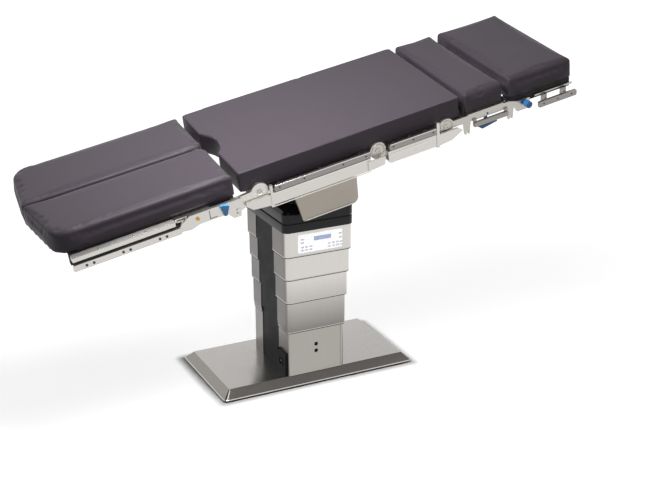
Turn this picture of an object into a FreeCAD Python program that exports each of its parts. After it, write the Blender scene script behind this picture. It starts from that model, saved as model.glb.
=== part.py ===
import FreeCAD, Part
import math
import os
import re
import Sketcher

# An operating table: base plate, telescopic lifting column, two-axis tilting
# hub and a jointed table top with leg, seat, back and head sections.
# All lengths are millimetres. The floor is z = 0 and the origin is the centre
# of the base plate. +X points to the head end, -Y to the keypad side.
#
# The table top is drawn level in its own frame: x along the top towards the
# head, y across it, z up, with z = 0 on the top face of the pads and x = 0
# above the tilt centre. It is then tilted as the table stands at rest.

SIZES = {
    # base plate
    "base_length": 835.0,
    "base_width": 454.0,
    "base_height": 40.0,
    "base_corner": 16.0,
    "bevel_run": 34.0,
    "bevel_corner": 5.0,
    "rim_height": 9.0,
    "rim_inset": 3.0,
    "cover_wall": 3.0,
    "core_margin": 60.0,
    # column position and shells
    "column_x": -12.0,
    "column_y": -46.0,
    "shell_left": 138.5,
    "shell_right": 151.5,
    "shell_front": 172.5,
    "shell_rear": 192.0,
    "shell_step": 5.5,
    "shell_wall": 2.0,
    "shell_clearance": 0.6,
    "rear_step": "=shell_wall + shell_clearance",
    "shell_corner": 22.0,
    "rear_corner": 4.0,
    "foot_corner": 9.0,
    "foot_seam_x": 110.0,
    "foot_seam": 1.2,
    "panel_front": 56.0,
    "panel_rear": 104.0,
    "panel_tuck": 12.0,
    "panel_thickness": 3.0,
    "foot_top": 272.0,
    "low_bottom": 253.0,
    "low_top": 401.0,
    "skirt_drop": 27.0,
    "middle_bottom": 355.0,
    "middle_top": 500.0,
    "upper_bottom": 454.0,
    "upper_top": 600.0,
    "top_bottom": 550.0,
    "socket_radius": 8.0,
    "socket_x": 3.0,
    "socket_low": 130.0,
    "socket_pitch": 29.0,
    "inlet_height": 92.0,
    "inlet_width": 84.0,
    "inlet_depth": 11.0,
    "inlet_front": 54.0,
    "inlet_mouth_width": 27.0,
    "inlet_mouth_height": 20.0,
    "inlet_mouth_depth": 7.0,
    "inlet_mouth_rise": 38.0,
    # keypad
    "keypad_left": -83.0,
    "keypad_width": 188.0,
    "keypad_bottom": 563.0,
    "keypad_height": 73.0,
    "keypad_thickness": 2.0,
    "keypad_corner": 5.0,
    # lifting gear
    "tube_half": 60.0,
    "tube_wall": 4.0,
    "tube_step": 6.0,
    "tube_floor": 8.0,
    "outer_tube_top": 330.0,
    "middle_tube_bottom": 205.0,
    "middle_tube_top": 520.0,
    "inner_tube_bottom": 378.0,
    "spindle_radius": 12.0,
    "spindle_top": 515.0,
    "running_gap": 0.05,
    "lift_motor_radius": 30.0,
    "lift_motor_height": 150.0,
    "lift_motor_y": 102.0,
    # collar on top of the column
    "collar_margin": 4.5,
    "collar_bottom": 650.0,
    "collar_band": 33.0,
    "collar_groove": 8.0,
    "collar_groove_depth": 6.0,
    "collar_cap": 31.0,
    "collar_top_rise": 13.0,
    "collar_top_run": 9.0,
    "collar_seat": 31.0,
    "collar_fit": 0.3,
    "collar_room_margin": 8.5,
    "collar_room_top": "=collar_bottom + 55",
    "collar_mouth_radius": 101.0,
    # tilt joint
    "tilt_rise": 76.0,
    "tilt_height": "=collar_bottom + collar_band + collar_groove + collar_cap + collar_top_rise + tilt_rise",
    "head_plate_thickness": 12.0,
    "head_plate_gap": 2.0,
    "cheek_inner": 70.0,
    "cheek_thickness": 14.0,
    "cheek_half_foot": 56.0,
    "cheek_radius": 26.0,
    "cross_half": 46.0,
    "cross_half_height": 24.0,
    "trend_journal_radius": 14.0,
    "lateral_journal_radius": 12.0,
    "journal_end_gap": 3.0,
    "drive_radius": 20.0,
    "drive_half_length": 64.0,
    "drive_foot": 6.0,
    # rubber bellows
    "bellows_inner": 104.0,
    "bellows_outer": 130.0,
    "bellows_fold": 7.0,
    "bellows_taper": 6.0,
    "bellows_pitch": 17.0,
    # rest attitude of the table top and its height over the tilt centre
    "head_up_deg": 11.18,
    "left_down_deg": 11.14,
    "top_over_tilt": 271.0,
    # pads
    "pad_half_width": 260.0,
    "pad_thickness": 80.0,
    "pad_edge": 7.0,
    "pad_corner": 9.0,
    "pad_split": 4.0,
    "soft_gap": 0.3,
    "seat_pad_start": -342.0,
    "flex_half": 60.0,
    "back_pad_end": 582.0,
    "notch_half_width": 86.0,
    "notch_depth": 33.0,
    "upper_pad_start": 605.0,
    "upper_pad_end": 779.0,
    "head_pad_start": 809.0,
    "head_pad_end": 1106.0,
    "leg_pad_start": -363.0,
    "leg_pad_tip": -1056.0,
    "leg_pad_side": -1022.0,
    "leg_pad_corner": 72.0,
    "leg_pad_inner_corner": 34.0,
    # decks under the pads
    "deck_level": "=-pad_thickness",
    "deck_margin": 2.0,
    "deck_half_width": "=pad_half_width + deck_margin",
    "deck_thickness": 12.0,
    "deck_edge_width": 18.0,
    "deck_edge_bottom": "=deck_level - 28",
    "seat_deck_start": -247.0,
    "seat_deck_end": 185.0,
    "tongue_start": -334.0,
    "tongue_half_width": "=lug_inner - 9",
    "tongue_thickness": 8.0,
    "tongue_notch_margin": 10.0,
    "back_deck_start": 241.0,
    "back_deck_end": 484.0,
    "upper_deck_start": 610.0,
    "upper_deck_end": 774.0,
    # hinges along the top: x and z of each pivot
    "leg_pivot_x": -275.0,
    "leg_pivot_z": "=deck_level - 12",
    "back_pivot_x": 213.0,
    "back_pivot_z": "=deck_level - 16",
    "upper_pivot_x": 512.0,
    "upper_pivot_z": "=deck_level - 18",
    "head_pivot_x": 876.0,
    "head_pivot_z": "=deck_level - 32",
    "lug_radius": "=deck_level - leg_pivot_z - 0.5",
    "lug_inset": 2.0,
    "lug_thickness": 16.0,
    "lug_outer": "=deck_half_width - lug_inset",
    "lug_inner": "=lug_outer - lug_thickness",
    "hinge_pin_radius": 8.0,
    "head_pin_radius": 6.0,
    "disc_radius": 34.0,
    "disc_gap": 0.4,
    "disc_thickness": 11.6,
    "disc_inner": "=deck_half_width + disc_gap",
    "disc_outer": "=disc_inner + disc_thickness",
    "block_gap": 2.0,
    "block_thickness": 12.0,
    "block_inner": "=disc_outer + block_gap",
    # beams, rails
    "beam_outer": "=block_inner + block_thickness",
    "beam_thickness": 46.0,
    "beam_inner": "=beam_outer - beam_thickness",
    "beam_depth": 58.0,
    "beam_bottom": "=deck_edge_bottom - beam_depth",
    "beam_chamfer": 9.0,
    "beam_side_gap": 0.5,
    "guard_thickness": 4.0,
    "seat_beam_start": -231.0,
    "seat_beam_end": 174.0,
    "back_beam_start": 249.0,
    "back_beam_end": 460.0,
    "back_beam_round": 22.0,
    "end_plate_thickness": 12.0,
    "end_plate_top": "=deck_level + 22",
    "seat_cap_thickness": 9.0,
    "end_plate_lip": 3.0,
    "end_plate_depth": 12.0,
    "end_plate_outer": "=beam_outer + end_plate_lip",
    "end_plate_inner": "=end_plate_outer - end_plate_depth",
    "rail_standoff": 23.0,
    "rail_inner": "=deck_half_width + rail_standoff",
    "rail_thickness": 10.0,
    "rail_height": 25.0,
    "rail_top": "=deck_level + 4",
    "rail_end_chamfer": 4.0,
    "spacer_radius": 7.0,
    "spacer_z": "=deck_level - 12",
    "spacer_from_end": 32.0,
    "seat_rail_start": -225.0,
    "seat_rail_end": 172.0,
    "back_rail_start": 252.0,
    "back_rail_end": 458.0,
    # hub
    "hub_start": -110.0,
    "hub_end": 104.0,
    "hub_side_gap": 7.0,
    "hub_half_width": "=beam_inner - hub_side_gap - hub_cover_thickness",
    "hub_bottom": "=beam_bottom - 42",
    "hub_plate_thickness": 24.0,
    "hub_web_thickness": 16.0,
    "hub_cheek_gap": 6.0,
    "hub_cheek_thickness": 18.0,
    "hub_cheek_half": 40.0,
    "hub_cover_thickness": 13.0,
    "hub_cover_top": "=deck_edge_bottom - 2",
    "hub_cover_left": -139.0,
    "hub_cover_foot_left": -101.0,
    "hub_cover_right": 136.0,
    "hub_cover_bottom": "=hub_bottom - 105",
    "hub_cover_corner": 26.0,
    "hub_cover_small_corner": 12.0,
    # leg sections
    "leg_frame_start": -985.0,
    "leg_frame_end": -372.0,
    "leg_frame_thickness": 10.0,
    "leg_frame_bottom": "=deck_level - 48",
    "leg_rail_start": -987.0,
    "leg_rail_end": -590.0,
    "leg_rail_top": "=deck_level - 32",
    "leg_bar_start": -983.0,
    "leg_bar_end": -607.0,
    "leg_bar_top": "=deck_level - 6",
    "leg_bar_bottom": "=deck_level - 23",
    "leg_bar_lip": 3.0,
    "slot_block_start": -604.0,
    "slot_block_end": -541.0,
    "slot_block_rim": 6.0,
    "leg_rail_foot_first": -940.0,
    "leg_rail_foot_pitch": 133.0,
    "leg_rail_foot_width": 20.0,
    "leg_rail_foot_bottom": "=leg_frame_bottom + 2",
    "hook_pin_x": -367.0,
    "hook_pin_z": "=deck_level - 49",
    "hook_pin_radius": 9.5,
    "hook_fit": 0.5,
    "bracket_start": -588.0,
    "bracket_end": -354.0,
    "bracket_top": "=deck_level - 2",
    "bracket_bottom": "=deck_level - 48",
    "bracket_slit": 3.0,
    "bracket_boss_end": -470.0,
    "lever_x": -422.0,
    "lever_z": "=deck_level - 8",
    "lever_thickness": 9.0,
    "lever_drop": 38.0,
    "lever_half_width": 18.0,
    "lever_gap": 0.3,
    "lever_pin_radius": 4.0,
    "button_x": -524.0,
    "button_z": "=deck_level - 23",
    "button_radius": 6.5,
    "button_rise": 4.0,
    "button_travel": 3.0,
    "button_floor": "=disc_outer - 6",
    # upper back section
    "frame_top": "=deck_level - 4",
    "frame_bottom": "=deck_level - 32",
    "frame_end": 898.0,
    "frame_end_top": "=deck_level - 17",
    "frame_end_bottom": "=deck_level - 62",
    "hook_first_x": 608.0,
    "hook_second_x": 808.0,
    "hook_half_width": 15.0,
    "hook_bottom": "=deck_level - 83",
    "hook_slot": 8.0,
    "hook_slot_depth": 18.0,
    "short_rail_start": 632.0,
    "short_rail_end": 790.0,
    "short_rail_top": "=deck_level - 38",
    "short_rail_bottom": "=deck_level - 57",
    "short_rail_thickness": 12.0,
    "short_rail_end_width": 14.0,
    "short_rail_end_rise": 8.0,
    "release_x": 700.0,
    "release_z": "=deck_level - 22",
    "release_radius": 5.0,
    "release_gap": 2.4,
    "release_width": 10.0,
    "release_outer": "=disc_inner - release_gap",
    "release_inner": "=release_outer - release_width",
    "blade_half_length": 45.0,
    "blade_top": "=deck_level - 62",
    "blade_bottom": "=deck_level - 80",
    # head section
    "head_frame_start": 818.0,
    "head_frame_end": 1098.0,
    "head_bar_bottom": "=deck_level - 36",
    "head_rail_start": 928.0,
    "head_rail_end": 1110.0,
    "head_rail_top": "=deck_level - 42",
    "head_post_first": 966.0,
    "head_post_pitch": 92.0,
    "head_post_width": 12.0,
    "head_post_top": "=deck_level - 20",
    "head_post_bottom": "=deck_level - 60",
    "knob_radius": 14.0,
    "knob_stem_radius": 7.0,
    "knob_stem_length": 9.0,
    "knob_length": 20.0,
    "knob_gap": 0.3,
}

BELLOWS_FOLDS = 3

doc = FreeCAD.newDocument("operating_table")
sheet = doc.addObject("Spreadsheet::Sheet", "Sizes")
for row, (name, value) in enumerate(SIZES.items(), start=1):
    sheet.set(f"A{row}", name)
    sheet.set(f"B{row}", str(value))
    sheet.setAlias(f"B{row}", name)
doc.recompute()

parts = []


def bind(text):
    """An expression with every size name pointing at the sheet."""
    return re.sub(
        r"[a-z][a-z_]*",
        lambda word: f"Sizes.{word.group()}" if word.group() in SIZES else word.group(),
        str(text),
    )


def size(text):
    """The number that an expression gives now."""
    answer = sheet.evalExpression(bind(text))
    return float(getattr(answer, "Value", answer))


def new_body(label):
    body = doc.addObject("PartDesign::Body", label)
    body.Label = label
    return body


def new_sketch(body, plane, offset):
    """A sketch on an origin plane of the body, moved along the plane's normal."""
    sketch = body.newObject("Sketcher::SketchObject", f"{body.Name}_sketch")
    for feature in body.Origin.OriginFeatures:
        if feature.Role == f"{plane}_Plane":
            sketch.AttachmentSupport = (feature, [""])
    sketch.MapMode = "FlatFace"
    sketch.setExpression("AttachmentOffset.Base.z", bind(offset))
    return sketch


def hold(sketch, kind, geometry, point, name, expression):
    """Holds one coordinate of a sketch point by a named dimension."""
    index = sketch.addConstraint(
        Sketcher.Constraint(kind, -1, 1, geometry, point, size(expression))
    )
    sketch.renameConstraint(index, name)
    sketch.setExpression(f"Constraints.{name}", bind(expression))


def draw_polygon(sketch, points):
    corners = [FreeCAD.Vector(size(a), size(b), 0) for a, b in points]
    count = len(corners)
    for i in range(count):
        sketch.addGeometry(Part.LineSegment(corners[i], corners[(i + 1) % count]))
    for i in range(count):
        after = (i + 1) % count
        sketch.addConstraint(Sketcher.Constraint("Coincident", i, 2, after, 1))
    for i, (a, b) in enumerate(points):
        hold(sketch, "DistanceX", i, 1, f"a{i}", a)
        hold(sketch, "DistanceY", i, 1, f"b{i}", b)


def draw_circles(sketch, centres, radius):
    for i, (a, b) in enumerate(centres):
        centre = FreeCAD.Vector(size(a), size(b), 0)
        sketch.addGeometry(Part.Circle(centre, FreeCAD.Vector(0, 0, 1), size(radius)))
        index = sketch.addConstraint(Sketcher.Constraint("Radius", i, size(radius)))
        sketch.renameConstraint(index, f"r{i}")
        sketch.setExpression(f"Constraints.r{i}", bind(radius))
        hold(sketch, "DistanceX", i, 3, f"a{i}", a)
        hold(sketch, "DistanceY", i, 3, f"b{i}", b)


def draw_rounded_rectangle(sketch, half_a, half_b, radius, mid_a="0", mid_b="0", far=None):
    """A rectangle about the point (mid_a, mid_b) with tangent corners. The two
    corners on the high side of b take the radius far where one is given."""
    a, b = size(half_a), size(half_b)
    r, q = size(radius), size(far or radius)
    middle = FreeCAD.Vector(size(mid_a), size(mid_b), 0)
    up = FreeCAD.Vector(0, 0, 1)
    ends = [
        ((-a + r, -b), (a - r, -b)),
        ((a, -b + r), (a, b - q)),
        ((a - q, b), (-a + q, b)),
        ((-a, b - q), (-a, -b + r)),
    ]
    corners = [((a - r, -b + r), r), ((a - q, b - q), q),
               ((-a + q, b - q), q), ((-a + r, -b + r), r)]
    for start, stop in ends:
        sketch.addGeometry(Part.LineSegment(middle + FreeCAD.Vector(*start, 0),
                                            middle + FreeCAD.Vector(*stop, 0)))
    for i, (centre, bend) in enumerate(corners):
        ring = Part.Circle(middle + FreeCAD.Vector(*centre, 0), up, bend)
        first = -math.pi / 2 + i * math.pi / 2
        sketch.addGeometry(Part.ArcOfCircle(ring, first, first + math.pi / 2))
    for i in range(4):
        arc = 4 + i
        sketch.addConstraint(Sketcher.Constraint("Tangent", i, 2, arc, 1))
        sketch.addConstraint(Sketcher.Constraint("Tangent", arc, 2, (i + 1) % 4, 1))
    sketch.addConstraint(Sketcher.Constraint("Equal", 4, 7))
    sketch.addConstraint(Sketcher.Constraint("Equal", 5, 6))
    for i, kind in enumerate(("Horizontal", "Vertical", "Horizontal", "Vertical")):
        sketch.addConstraint(Sketcher.Constraint(kind, i))
    for arc, name, bend in ((4, "near_corner", radius), (5, "far_corner", far or radius)):
        index = sketch.addConstraint(Sketcher.Constraint("Radius", arc, size(bend)))
        sketch.renameConstraint(index, name)
        sketch.setExpression(f"Constraints.{name}", bind(bend))
    hold(sketch, "DistanceY", 0, 1, "low", f"{mid_b} - ({half_b})")
    hold(sketch, "DistanceX", 1, 1, "right", f"{mid_a} + ({half_a})")
    hold(sketch, "DistanceY", 2, 1, "high", f"{mid_b} + ({half_b})")
    hold(sketch, "DistanceX", 3, 1, "left", f"{mid_a} - ({half_a})")


def pad(body, plane, low, high, draw, *shape):
    """Adds the shape drawn on the plane, from low to high along its axis.
    The XZ plane looks along -Y, so its offset is counted the other way."""
    offset = f"-({high})" if plane == "XZ" else low
    sketch = new_sketch(body, plane, offset)
    draw(sketch, *shape)
    feature = body.newObject("PartDesign::Pad", f"{body.Name}_pad")
    feature.Profile = sketch
    feature.setExpression("Length", bind(f"({high}) - ({low})"))
    doc.recompute()
    return feature


def pocket(body, plane, low, high, draw, *shape):
    """Cuts the shape drawn on the plane, from low to high along its axis."""
    offset = f"-({low})" if plane == "XZ" else high
    sketch = new_sketch(body, plane, offset)
    draw(sketch, *shape)
    before = body.Shape.Volume
    feature = body.newObject("PartDesign::Pocket", f"{body.Name}_pocket")
    feature.Profile = sketch
    feature.setExpression("Length", bind(f"({high}) - ({low})"))
    doc.recompute()
    if not body.Shape.Volume < before:
        raise ValueError(f"the cut in {body.Label} removed nothing")
    return feature


def edges_through(body, plane, corners):
    """The straight edges that cross the drawing plane at the given corners."""
    axis = {"XY": 2, "XZ": 1, "YZ": 0}[plane]
    others = [i for i in range(3) if i != axis]
    wanted = [(size(a), size(b)) for a, b in corners]
    found = []
    for number, edge in enumerate(body.Shape.Edges, start=1):
        ends = [vertex.Point for vertex in edge.Vertexes]
        if len(ends) != 2:
            continue
        flat = [[point[i] for i in others] for point in ends]
        if math.dist(flat[0], flat[1]) > 0.01:
            continue
        if any(math.dist(flat[0], corner) < 0.01 for corner in wanted):
            found.append(f"Edge{number}")
    return found


def round_corners(body, plane, corners, radius):
    """Rounds the edges that stand on the given corners of a drawing."""
    feature = body.Tip
    names = edges_through(body, plane, corners)
    if not names:
        raise ValueError(f"{body.Label} has no edge at the corners to round")
    fillet = body.newObject("PartDesign::Fillet", f"{body.Name}_round")
    fillet.Base = (feature, names)
    fillet.setExpression("Radius", bind(radius))
    doc.recompute()
    return fillet


def bevel_level(body, height, width):
    """Bevels every edge that lies at one height, as round a pad's top face."""
    level = size(height)
    feature = body.Tip
    names = []
    for number, edge in enumerate(body.Shape.Edges, start=1):
        box = edge.BoundBox
        if abs(box.ZMin - level) < 0.01 and abs(box.ZMax - level) < 0.01:
            names.append(f"Edge{number}")
    chamfer = body.newObject("PartDesign::Chamfer", f"{body.Name}_edge")
    chamfer.Base = (feature, names)
    chamfer.setExpression("Size", bind(width))
    doc.recompute()
    return chamfer


def rectangle(a_low, a_high, b_low, b_high):
    return [(a_low, b_low), (a_high, b_low), (a_high, b_high), (a_low, b_high)]


def mirrored(item, normal):
    """A second copy of an item on the other side of a plane through the origin."""
    twin = doc.addObject("Part::Mirroring", f"{item.Name}_twin")
    twin.Source = item
    twin.Normal = normal
    twin.Base = FreeCAD.Vector(0, 0, 0)
    return twin


def group(label, items):
    """Several separate solids kept as one sub-part."""
    together = doc.addObject("Part::Compound", label)
    together.Links = items
    together.Label = label
    doc.recompute()
    return together


ACROSS = FreeCAD.Vector(0, 1, 0)
ALONG = FreeCAD.Vector(1, 0, 0)


def pair(label, items):
    """The left items and their mirror images on the right, as one sub-part."""
    return group(label, items + [mirrored(item, ACROSS) for item in items])


def finish(item, label, placement):
    item.Label = label
    item.Placement = placement
    parts.append(item)


UPRIGHT = FreeCAD.Placement()
COLUMN = FreeCAD.Placement(
    FreeCAD.Vector(size("column_x"), size("column_y"), 0), FreeCAD.Rotation()
)
TILT_CENTRE = FreeCAD.Vector(size("column_x"), size("column_y"), size("tilt_height"))
HEAD_UP = FreeCAD.Rotation(FreeCAD.Vector(0, 1, 0), -size("head_up_deg"))
LEFT_DOWN = FreeCAD.Rotation(FreeCAD.Vector(1, 0, 0), size("left_down_deg"))
CROSS = FreeCAD.Placement(TILT_CENTRE, HEAD_UP)
TOP = FreeCAD.Placement(TILT_CENTRE, HEAD_UP.multiply(LEFT_DOWN)).multiply(
    FreeCAD.Placement(FreeCAD.Vector(0, 0, size("top_over_tilt")), FreeCAD.Rotation())
)


# Base plate

def make_base():
    cover = new_body("base_cover")
    foot = new_sketch(cover, "XY", "rim_height")
    draw_rounded_rectangle(foot, "base_length / 2", "base_width / 2", "base_corner")
    crown = new_sketch(cover, "XY", "base_height")
    draw_rounded_rectangle(
        crown, "base_length / 2 - bevel_run", "base_width / 2 - bevel_run", "bevel_corner"
    )
    loft = cover.newObject("PartDesign::AdditiveLoft", "base_cover_loft")
    loft.Profile = foot
    loft.Sections = [crown]
    loft.Ruled = True
    doc.recompute()
    half_length = "base_length / 2 - core_margin"
    half_width = "base_width / 2 - core_margin"
    pocket(cover, "XY", "rim_height", "base_height - cover_wall",
           draw_rounded_rectangle, half_length, half_width, "base_corner")
    finish(cover, "base_cover", UPRIGHT)

    mat = new_body("base_rubber_mat")
    pad(mat, "XY", "0", "rim_height", draw_rounded_rectangle,
        "base_length / 2 - rim_inset", "base_width / 2 - rim_inset", "base_corner")
    finish(mat, "base_rubber_mat", UPRIGHT)

    core = new_body("base_core")
    pad(core, "XY", "rim_height", "base_height - cover_wall", draw_rounded_rectangle,
        f"{half_length} - collar_fit", f"{half_width} - collar_fit", "base_corner")
    finish(core, "base_core", UPRIGHT)


# Column shells: each stage is a front and a rear steel shell with a black
# panel between them on either side, one step smaller than the stage above.
# The rear walls step only by a wall and its clearance.

def side(name, steps, inset="0"):
    """How far one side of a stage stands from the column's axis."""
    step = "rear_step" if name == "rear" else "shell_step"
    return f"(shell_{name} - {steps} * {step} - ({inset}))"


def draw_stage(sketch, steps, corner, back_corner, inset="0", rear_inset=None):
    """The outline of a stage, or of a piece that stands inside or round it."""
    left, right, front = (side(name, steps, inset) for name in ("left", "right", "front"))
    rear = side("rear", steps, inset if rear_inset is None else rear_inset)
    draw_rounded_rectangle(
        sketch, f"({left} + {right}) / 2", f"({front} + {rear}) / 2", corner,
        f"({right} - {left}) / 2", f"({rear} - {front}) / 2", back_corner
    )


def shell(label, steps, corner, front, low, high):
    """One U-shaped steel shell, open towards the other half."""
    left, right = f"-{side('left', steps)}", side("right", steps)
    if front:
        edge, wall, inward = "-panel_front", f"-{side('front', steps)}", "+ shell_wall"
    else:
        edge, wall, inward = "panel_rear", side("rear", steps), "- shell_wall"
    points = [
        (left, edge), (left, wall), (right, wall), (right, edge),
        (f"{right} - shell_wall", edge), (f"{right} - shell_wall", f"{wall} {inward}"),
        (f"{left} + shell_wall", f"{wall} {inward}"), (f"{left} + shell_wall", edge),
    ]
    body = new_body(label)
    pad(body, "XY", low, high, draw_polygon, points)
    round_corners(body, "XY", points[1:3], corner)
    round_corners(body, "XY", points[5:7], f"{corner} - shell_wall")
    return body


def side_panels(label, steps, low, high):
    """The black panels that close both sides between the shells."""
    panels = []
    for name, sign, inward in (("left", "-", "+"), ("right", "", "-")):
        face = f"{sign}{side(name, steps, 'shell_wall')}"
        far = f"{face} {inward} panel_thickness"
        low_x, high_x = (face, far) if sign else (far, face)
        panel = new_body(f"{label}_{name}")
        pad(panel, "XY", low, high, draw_polygon,
            rectangle(low_x, high_x, "-panel_front - panel_tuck", "panel_rear + panel_tuck"))
        panels.append(panel)
    finish(group(label, panels), label, COLUMN)


def skirt(label, front):
    """The tapered band that closes the lowest moving stage on the foot."""
    run = "(shell_step - shell_clearance - shell_wall)"
    low = "low_bottom - skirt_drop"
    grown = "+ shell_clearance + shell_wall"
    body = new_body(label)
    for kind, inset in (("Additive", "0"), ("Subtractive", "shell_wall")):
        levels = []
        for level, corner, back_corner, inward in (
            ("low_bottom", "shell_corner", "rear_corner", inset),
            (low, f"foot_corner {grown}", f"rear_corner {grown}", f"{inset} + {run}"),
        ):
            sketch = new_sketch(body, "XY", level)
            draw_stage(sketch, 3, f"{corner} - {inset}", f"{back_corner} - {inset}",
                       inward, inset)
            levels.append(sketch)
        loft = body.newObject(f"PartDesign::{kind}Loft", f"{label}_{kind.lower()}")
        loft.Profile = levels[0]
        loft.Sections = levels[1:]
        loft.Ruled = True
        doc.recompute()
    wide = (f"-{side('left', 3)} - 1", f"{side('right', 3)} + 1")
    if front:
        away = rectangle(*wide, "-panel_front", f"{side('rear', 3)} + 1")
    else:
        away = rectangle(*wide, f"-{side('front', 3)} - 1", "panel_rear")
    pocket(body, "XY", f"{low} - 1", "low_bottom + 1", draw_polygon, away)
    return body


def foot_front():
    """The foot's front: a cover with two sockets and, past a seam, a corner strip."""
    left, right = f"-{side('left', 4)}", side("right", 4)
    wall = f"-{side('front', 4)}"
    cover = new_body("foot_front_cover")
    points = [(left, "-panel_front"), (left, wall), ("foot_seam_x", wall),
              ("foot_seam_x", f"{wall} + shell_wall"),
              (f"{left} + shell_wall", f"{wall} + shell_wall"),
              (f"{left} + shell_wall", "-panel_front")]
    pad(cover, "XY", "base_height", "foot_top", draw_polygon, points)
    round_corners(cover, "XY", points[1:2], "foot_corner")
    round_corners(cover, "XY", points[4:5], "foot_corner - shell_wall")
    pocket(cover, "XZ", wall, f"{wall} + shell_wall", draw_circles,
           [("socket_x", "socket_low"), ("socket_x", "socket_low + socket_pitch")],
           "socket_radius")
    strip = new_body("foot_corner_strip")
    start = "foot_seam_x + foot_seam"
    points = [(start, wall), (right, wall), (right, "-panel_front"),
              (f"{right} - shell_wall", "-panel_front"),
              (f"{right} - shell_wall", f"{wall} + shell_wall"),
              (start, f"{wall} + shell_wall")]
    pad(strip, "XY", "base_height", "foot_top", draw_polygon, points)
    corner = f"({right} - foot_seam_x - foot_seam - 1)"
    round_corners(strip, "XY", points[1:2], corner)
    round_corners(strip, "XY", points[4:5], f"{corner} - shell_wall")
    return [cover, strip]


def make_column():
    rear = shell("foot_rear", 4, "rear_corner", False, "base_height", "foot_top")
    finish(group("foot_covers", foot_front() + [rear]), "foot_covers", COLUMN)
    side_panels("foot_side_panels", 4, "base_height", "foot_top")

    stages = [
        ("low_stage", 3, "low_bottom", "low_top"),
        ("middle_stage", 2, "middle_bottom", "middle_top"),
        ("upper_stage", 1, "upper_bottom", "upper_top"),
        ("top_stage", 0, "top_bottom", "collar_bottom + collar_seat"),
    ]
    for name, steps, low, high in stages:
        covers = [
            shell(f"{name}_front", steps, "shell_corner", True, low, high),
            shell(f"{name}_rear", steps, "rear_corner", False, low, high),
        ]
        if name == "low_stage":
            covers += [skirt("low_skirt_front", True), skirt("low_skirt_rear", False)]
        finish(group(f"{name}_covers", covers), f"{name}_covers", COLUMN)
        side_panels(f"{name}_side_panels", steps, low, high)

    housing = new_body("inlet_housing")
    face = f"-{side('left', 4)}"
    y_high = "-inlet_front"
    y_low = "-inlet_front - inlet_width"
    block = rectangle(y_low, y_high, "base_height", "base_height + inlet_height")
    pad(housing, "YZ", f"{face} - inlet_depth", face, draw_polygon, block)
    round_corners(housing, "YZ", block[2:], "keypad_corner")
    middle = "(-inlet_front - inlet_width / 2)"
    mouth = rectangle(f"{middle} - inlet_mouth_width / 2", f"{middle} + inlet_mouth_width / 2",
                      "base_height + inlet_mouth_rise",
                      "base_height + inlet_mouth_rise + inlet_mouth_height")
    mouth_floor = f"{face} - inlet_depth + inlet_mouth_depth"
    pocket_from_left(housing, mouth_floor, f"{face} - inlet_depth", mouth)
    finish(housing, "inlet_housing", COLUMN)

    keypad = new_body("keypad")
    outline = rectangle("keypad_left", "keypad_left + keypad_width",
                        "keypad_bottom", "keypad_bottom + keypad_height")
    pad(keypad, "XZ", "-shell_front - keypad_thickness", "-shell_front",
        draw_polygon, outline)
    round_corners(keypad, "XZ", outline, "keypad_corner")
    finish(keypad, "keypad", COLUMN)


def pocket_from_left(body, inner, outer, points):
    """A recess cut towards +X from a face that looks along -X."""
    sketch = new_sketch(body, "YZ", outer)
    draw_polygon(sketch, points)
    before = body.Shape.Volume
    feature = body.newObject("PartDesign::Pocket", f"{body.Name}_recess")
    feature.Profile = sketch
    feature.Reversed = True
    feature.setExpression("Length", bind(f"({inner}) - ({outer})"))
    doc.recompute()
    if not body.Shape.Volume < before:
        raise ValueError(f"the recess in {body.Label} removed nothing")


# Lifting gear inside the column

def square_tube(label, steps, low, high, floor_hole):
    half = f"(tube_half - {steps} * tube_step)"
    body = new_body(label)
    pad(body, "XY", low, high, draw_rounded_rectangle, half, half, "tube_wall")
    bottom = f"{low} + tube_floor" if floor_hole != "open" else low
    pocket(body, "XY", bottom, high, draw_rounded_rectangle,
           f"{half} - tube_wall", f"{half} - tube_wall", "tube_wall / 2")
    if floor_hole == "spindle":
        pocket(body, "XY", low, bottom, draw_circles, [("0", "0")],
               "spindle_radius + running_gap")
    finish(body, label, COLUMN)


def make_lift():
    square_tube("outer_guide_tube", 0, "base_height", "outer_tube_top", "open")
    square_tube("middle_guide_tube", 1, "middle_tube_bottom", "middle_tube_top", "closed")
    square_tube("inner_guide_tube", 2, "inner_tube_bottom",
                "collar_room_top - head_plate_thickness", "spindle")
    spindle = new_body("lift_spindle")
    pad(spindle, "XY", "middle_tube_bottom + tube_floor", "spindle_top",
        draw_circles, [("0", "0")], "spindle_radius")
    finish(spindle, "lift_spindle", COLUMN)
    motor = new_body("lift_motor")
    pad(motor, "XY", "base_height", "base_height + lift_motor_height",
        draw_circles, [("0", "lift_motor_y")], "lift_motor_radius")
    finish(motor, "lift_motor", COLUMN)


# Collar, bearing casting and bellows on top of the column

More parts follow.
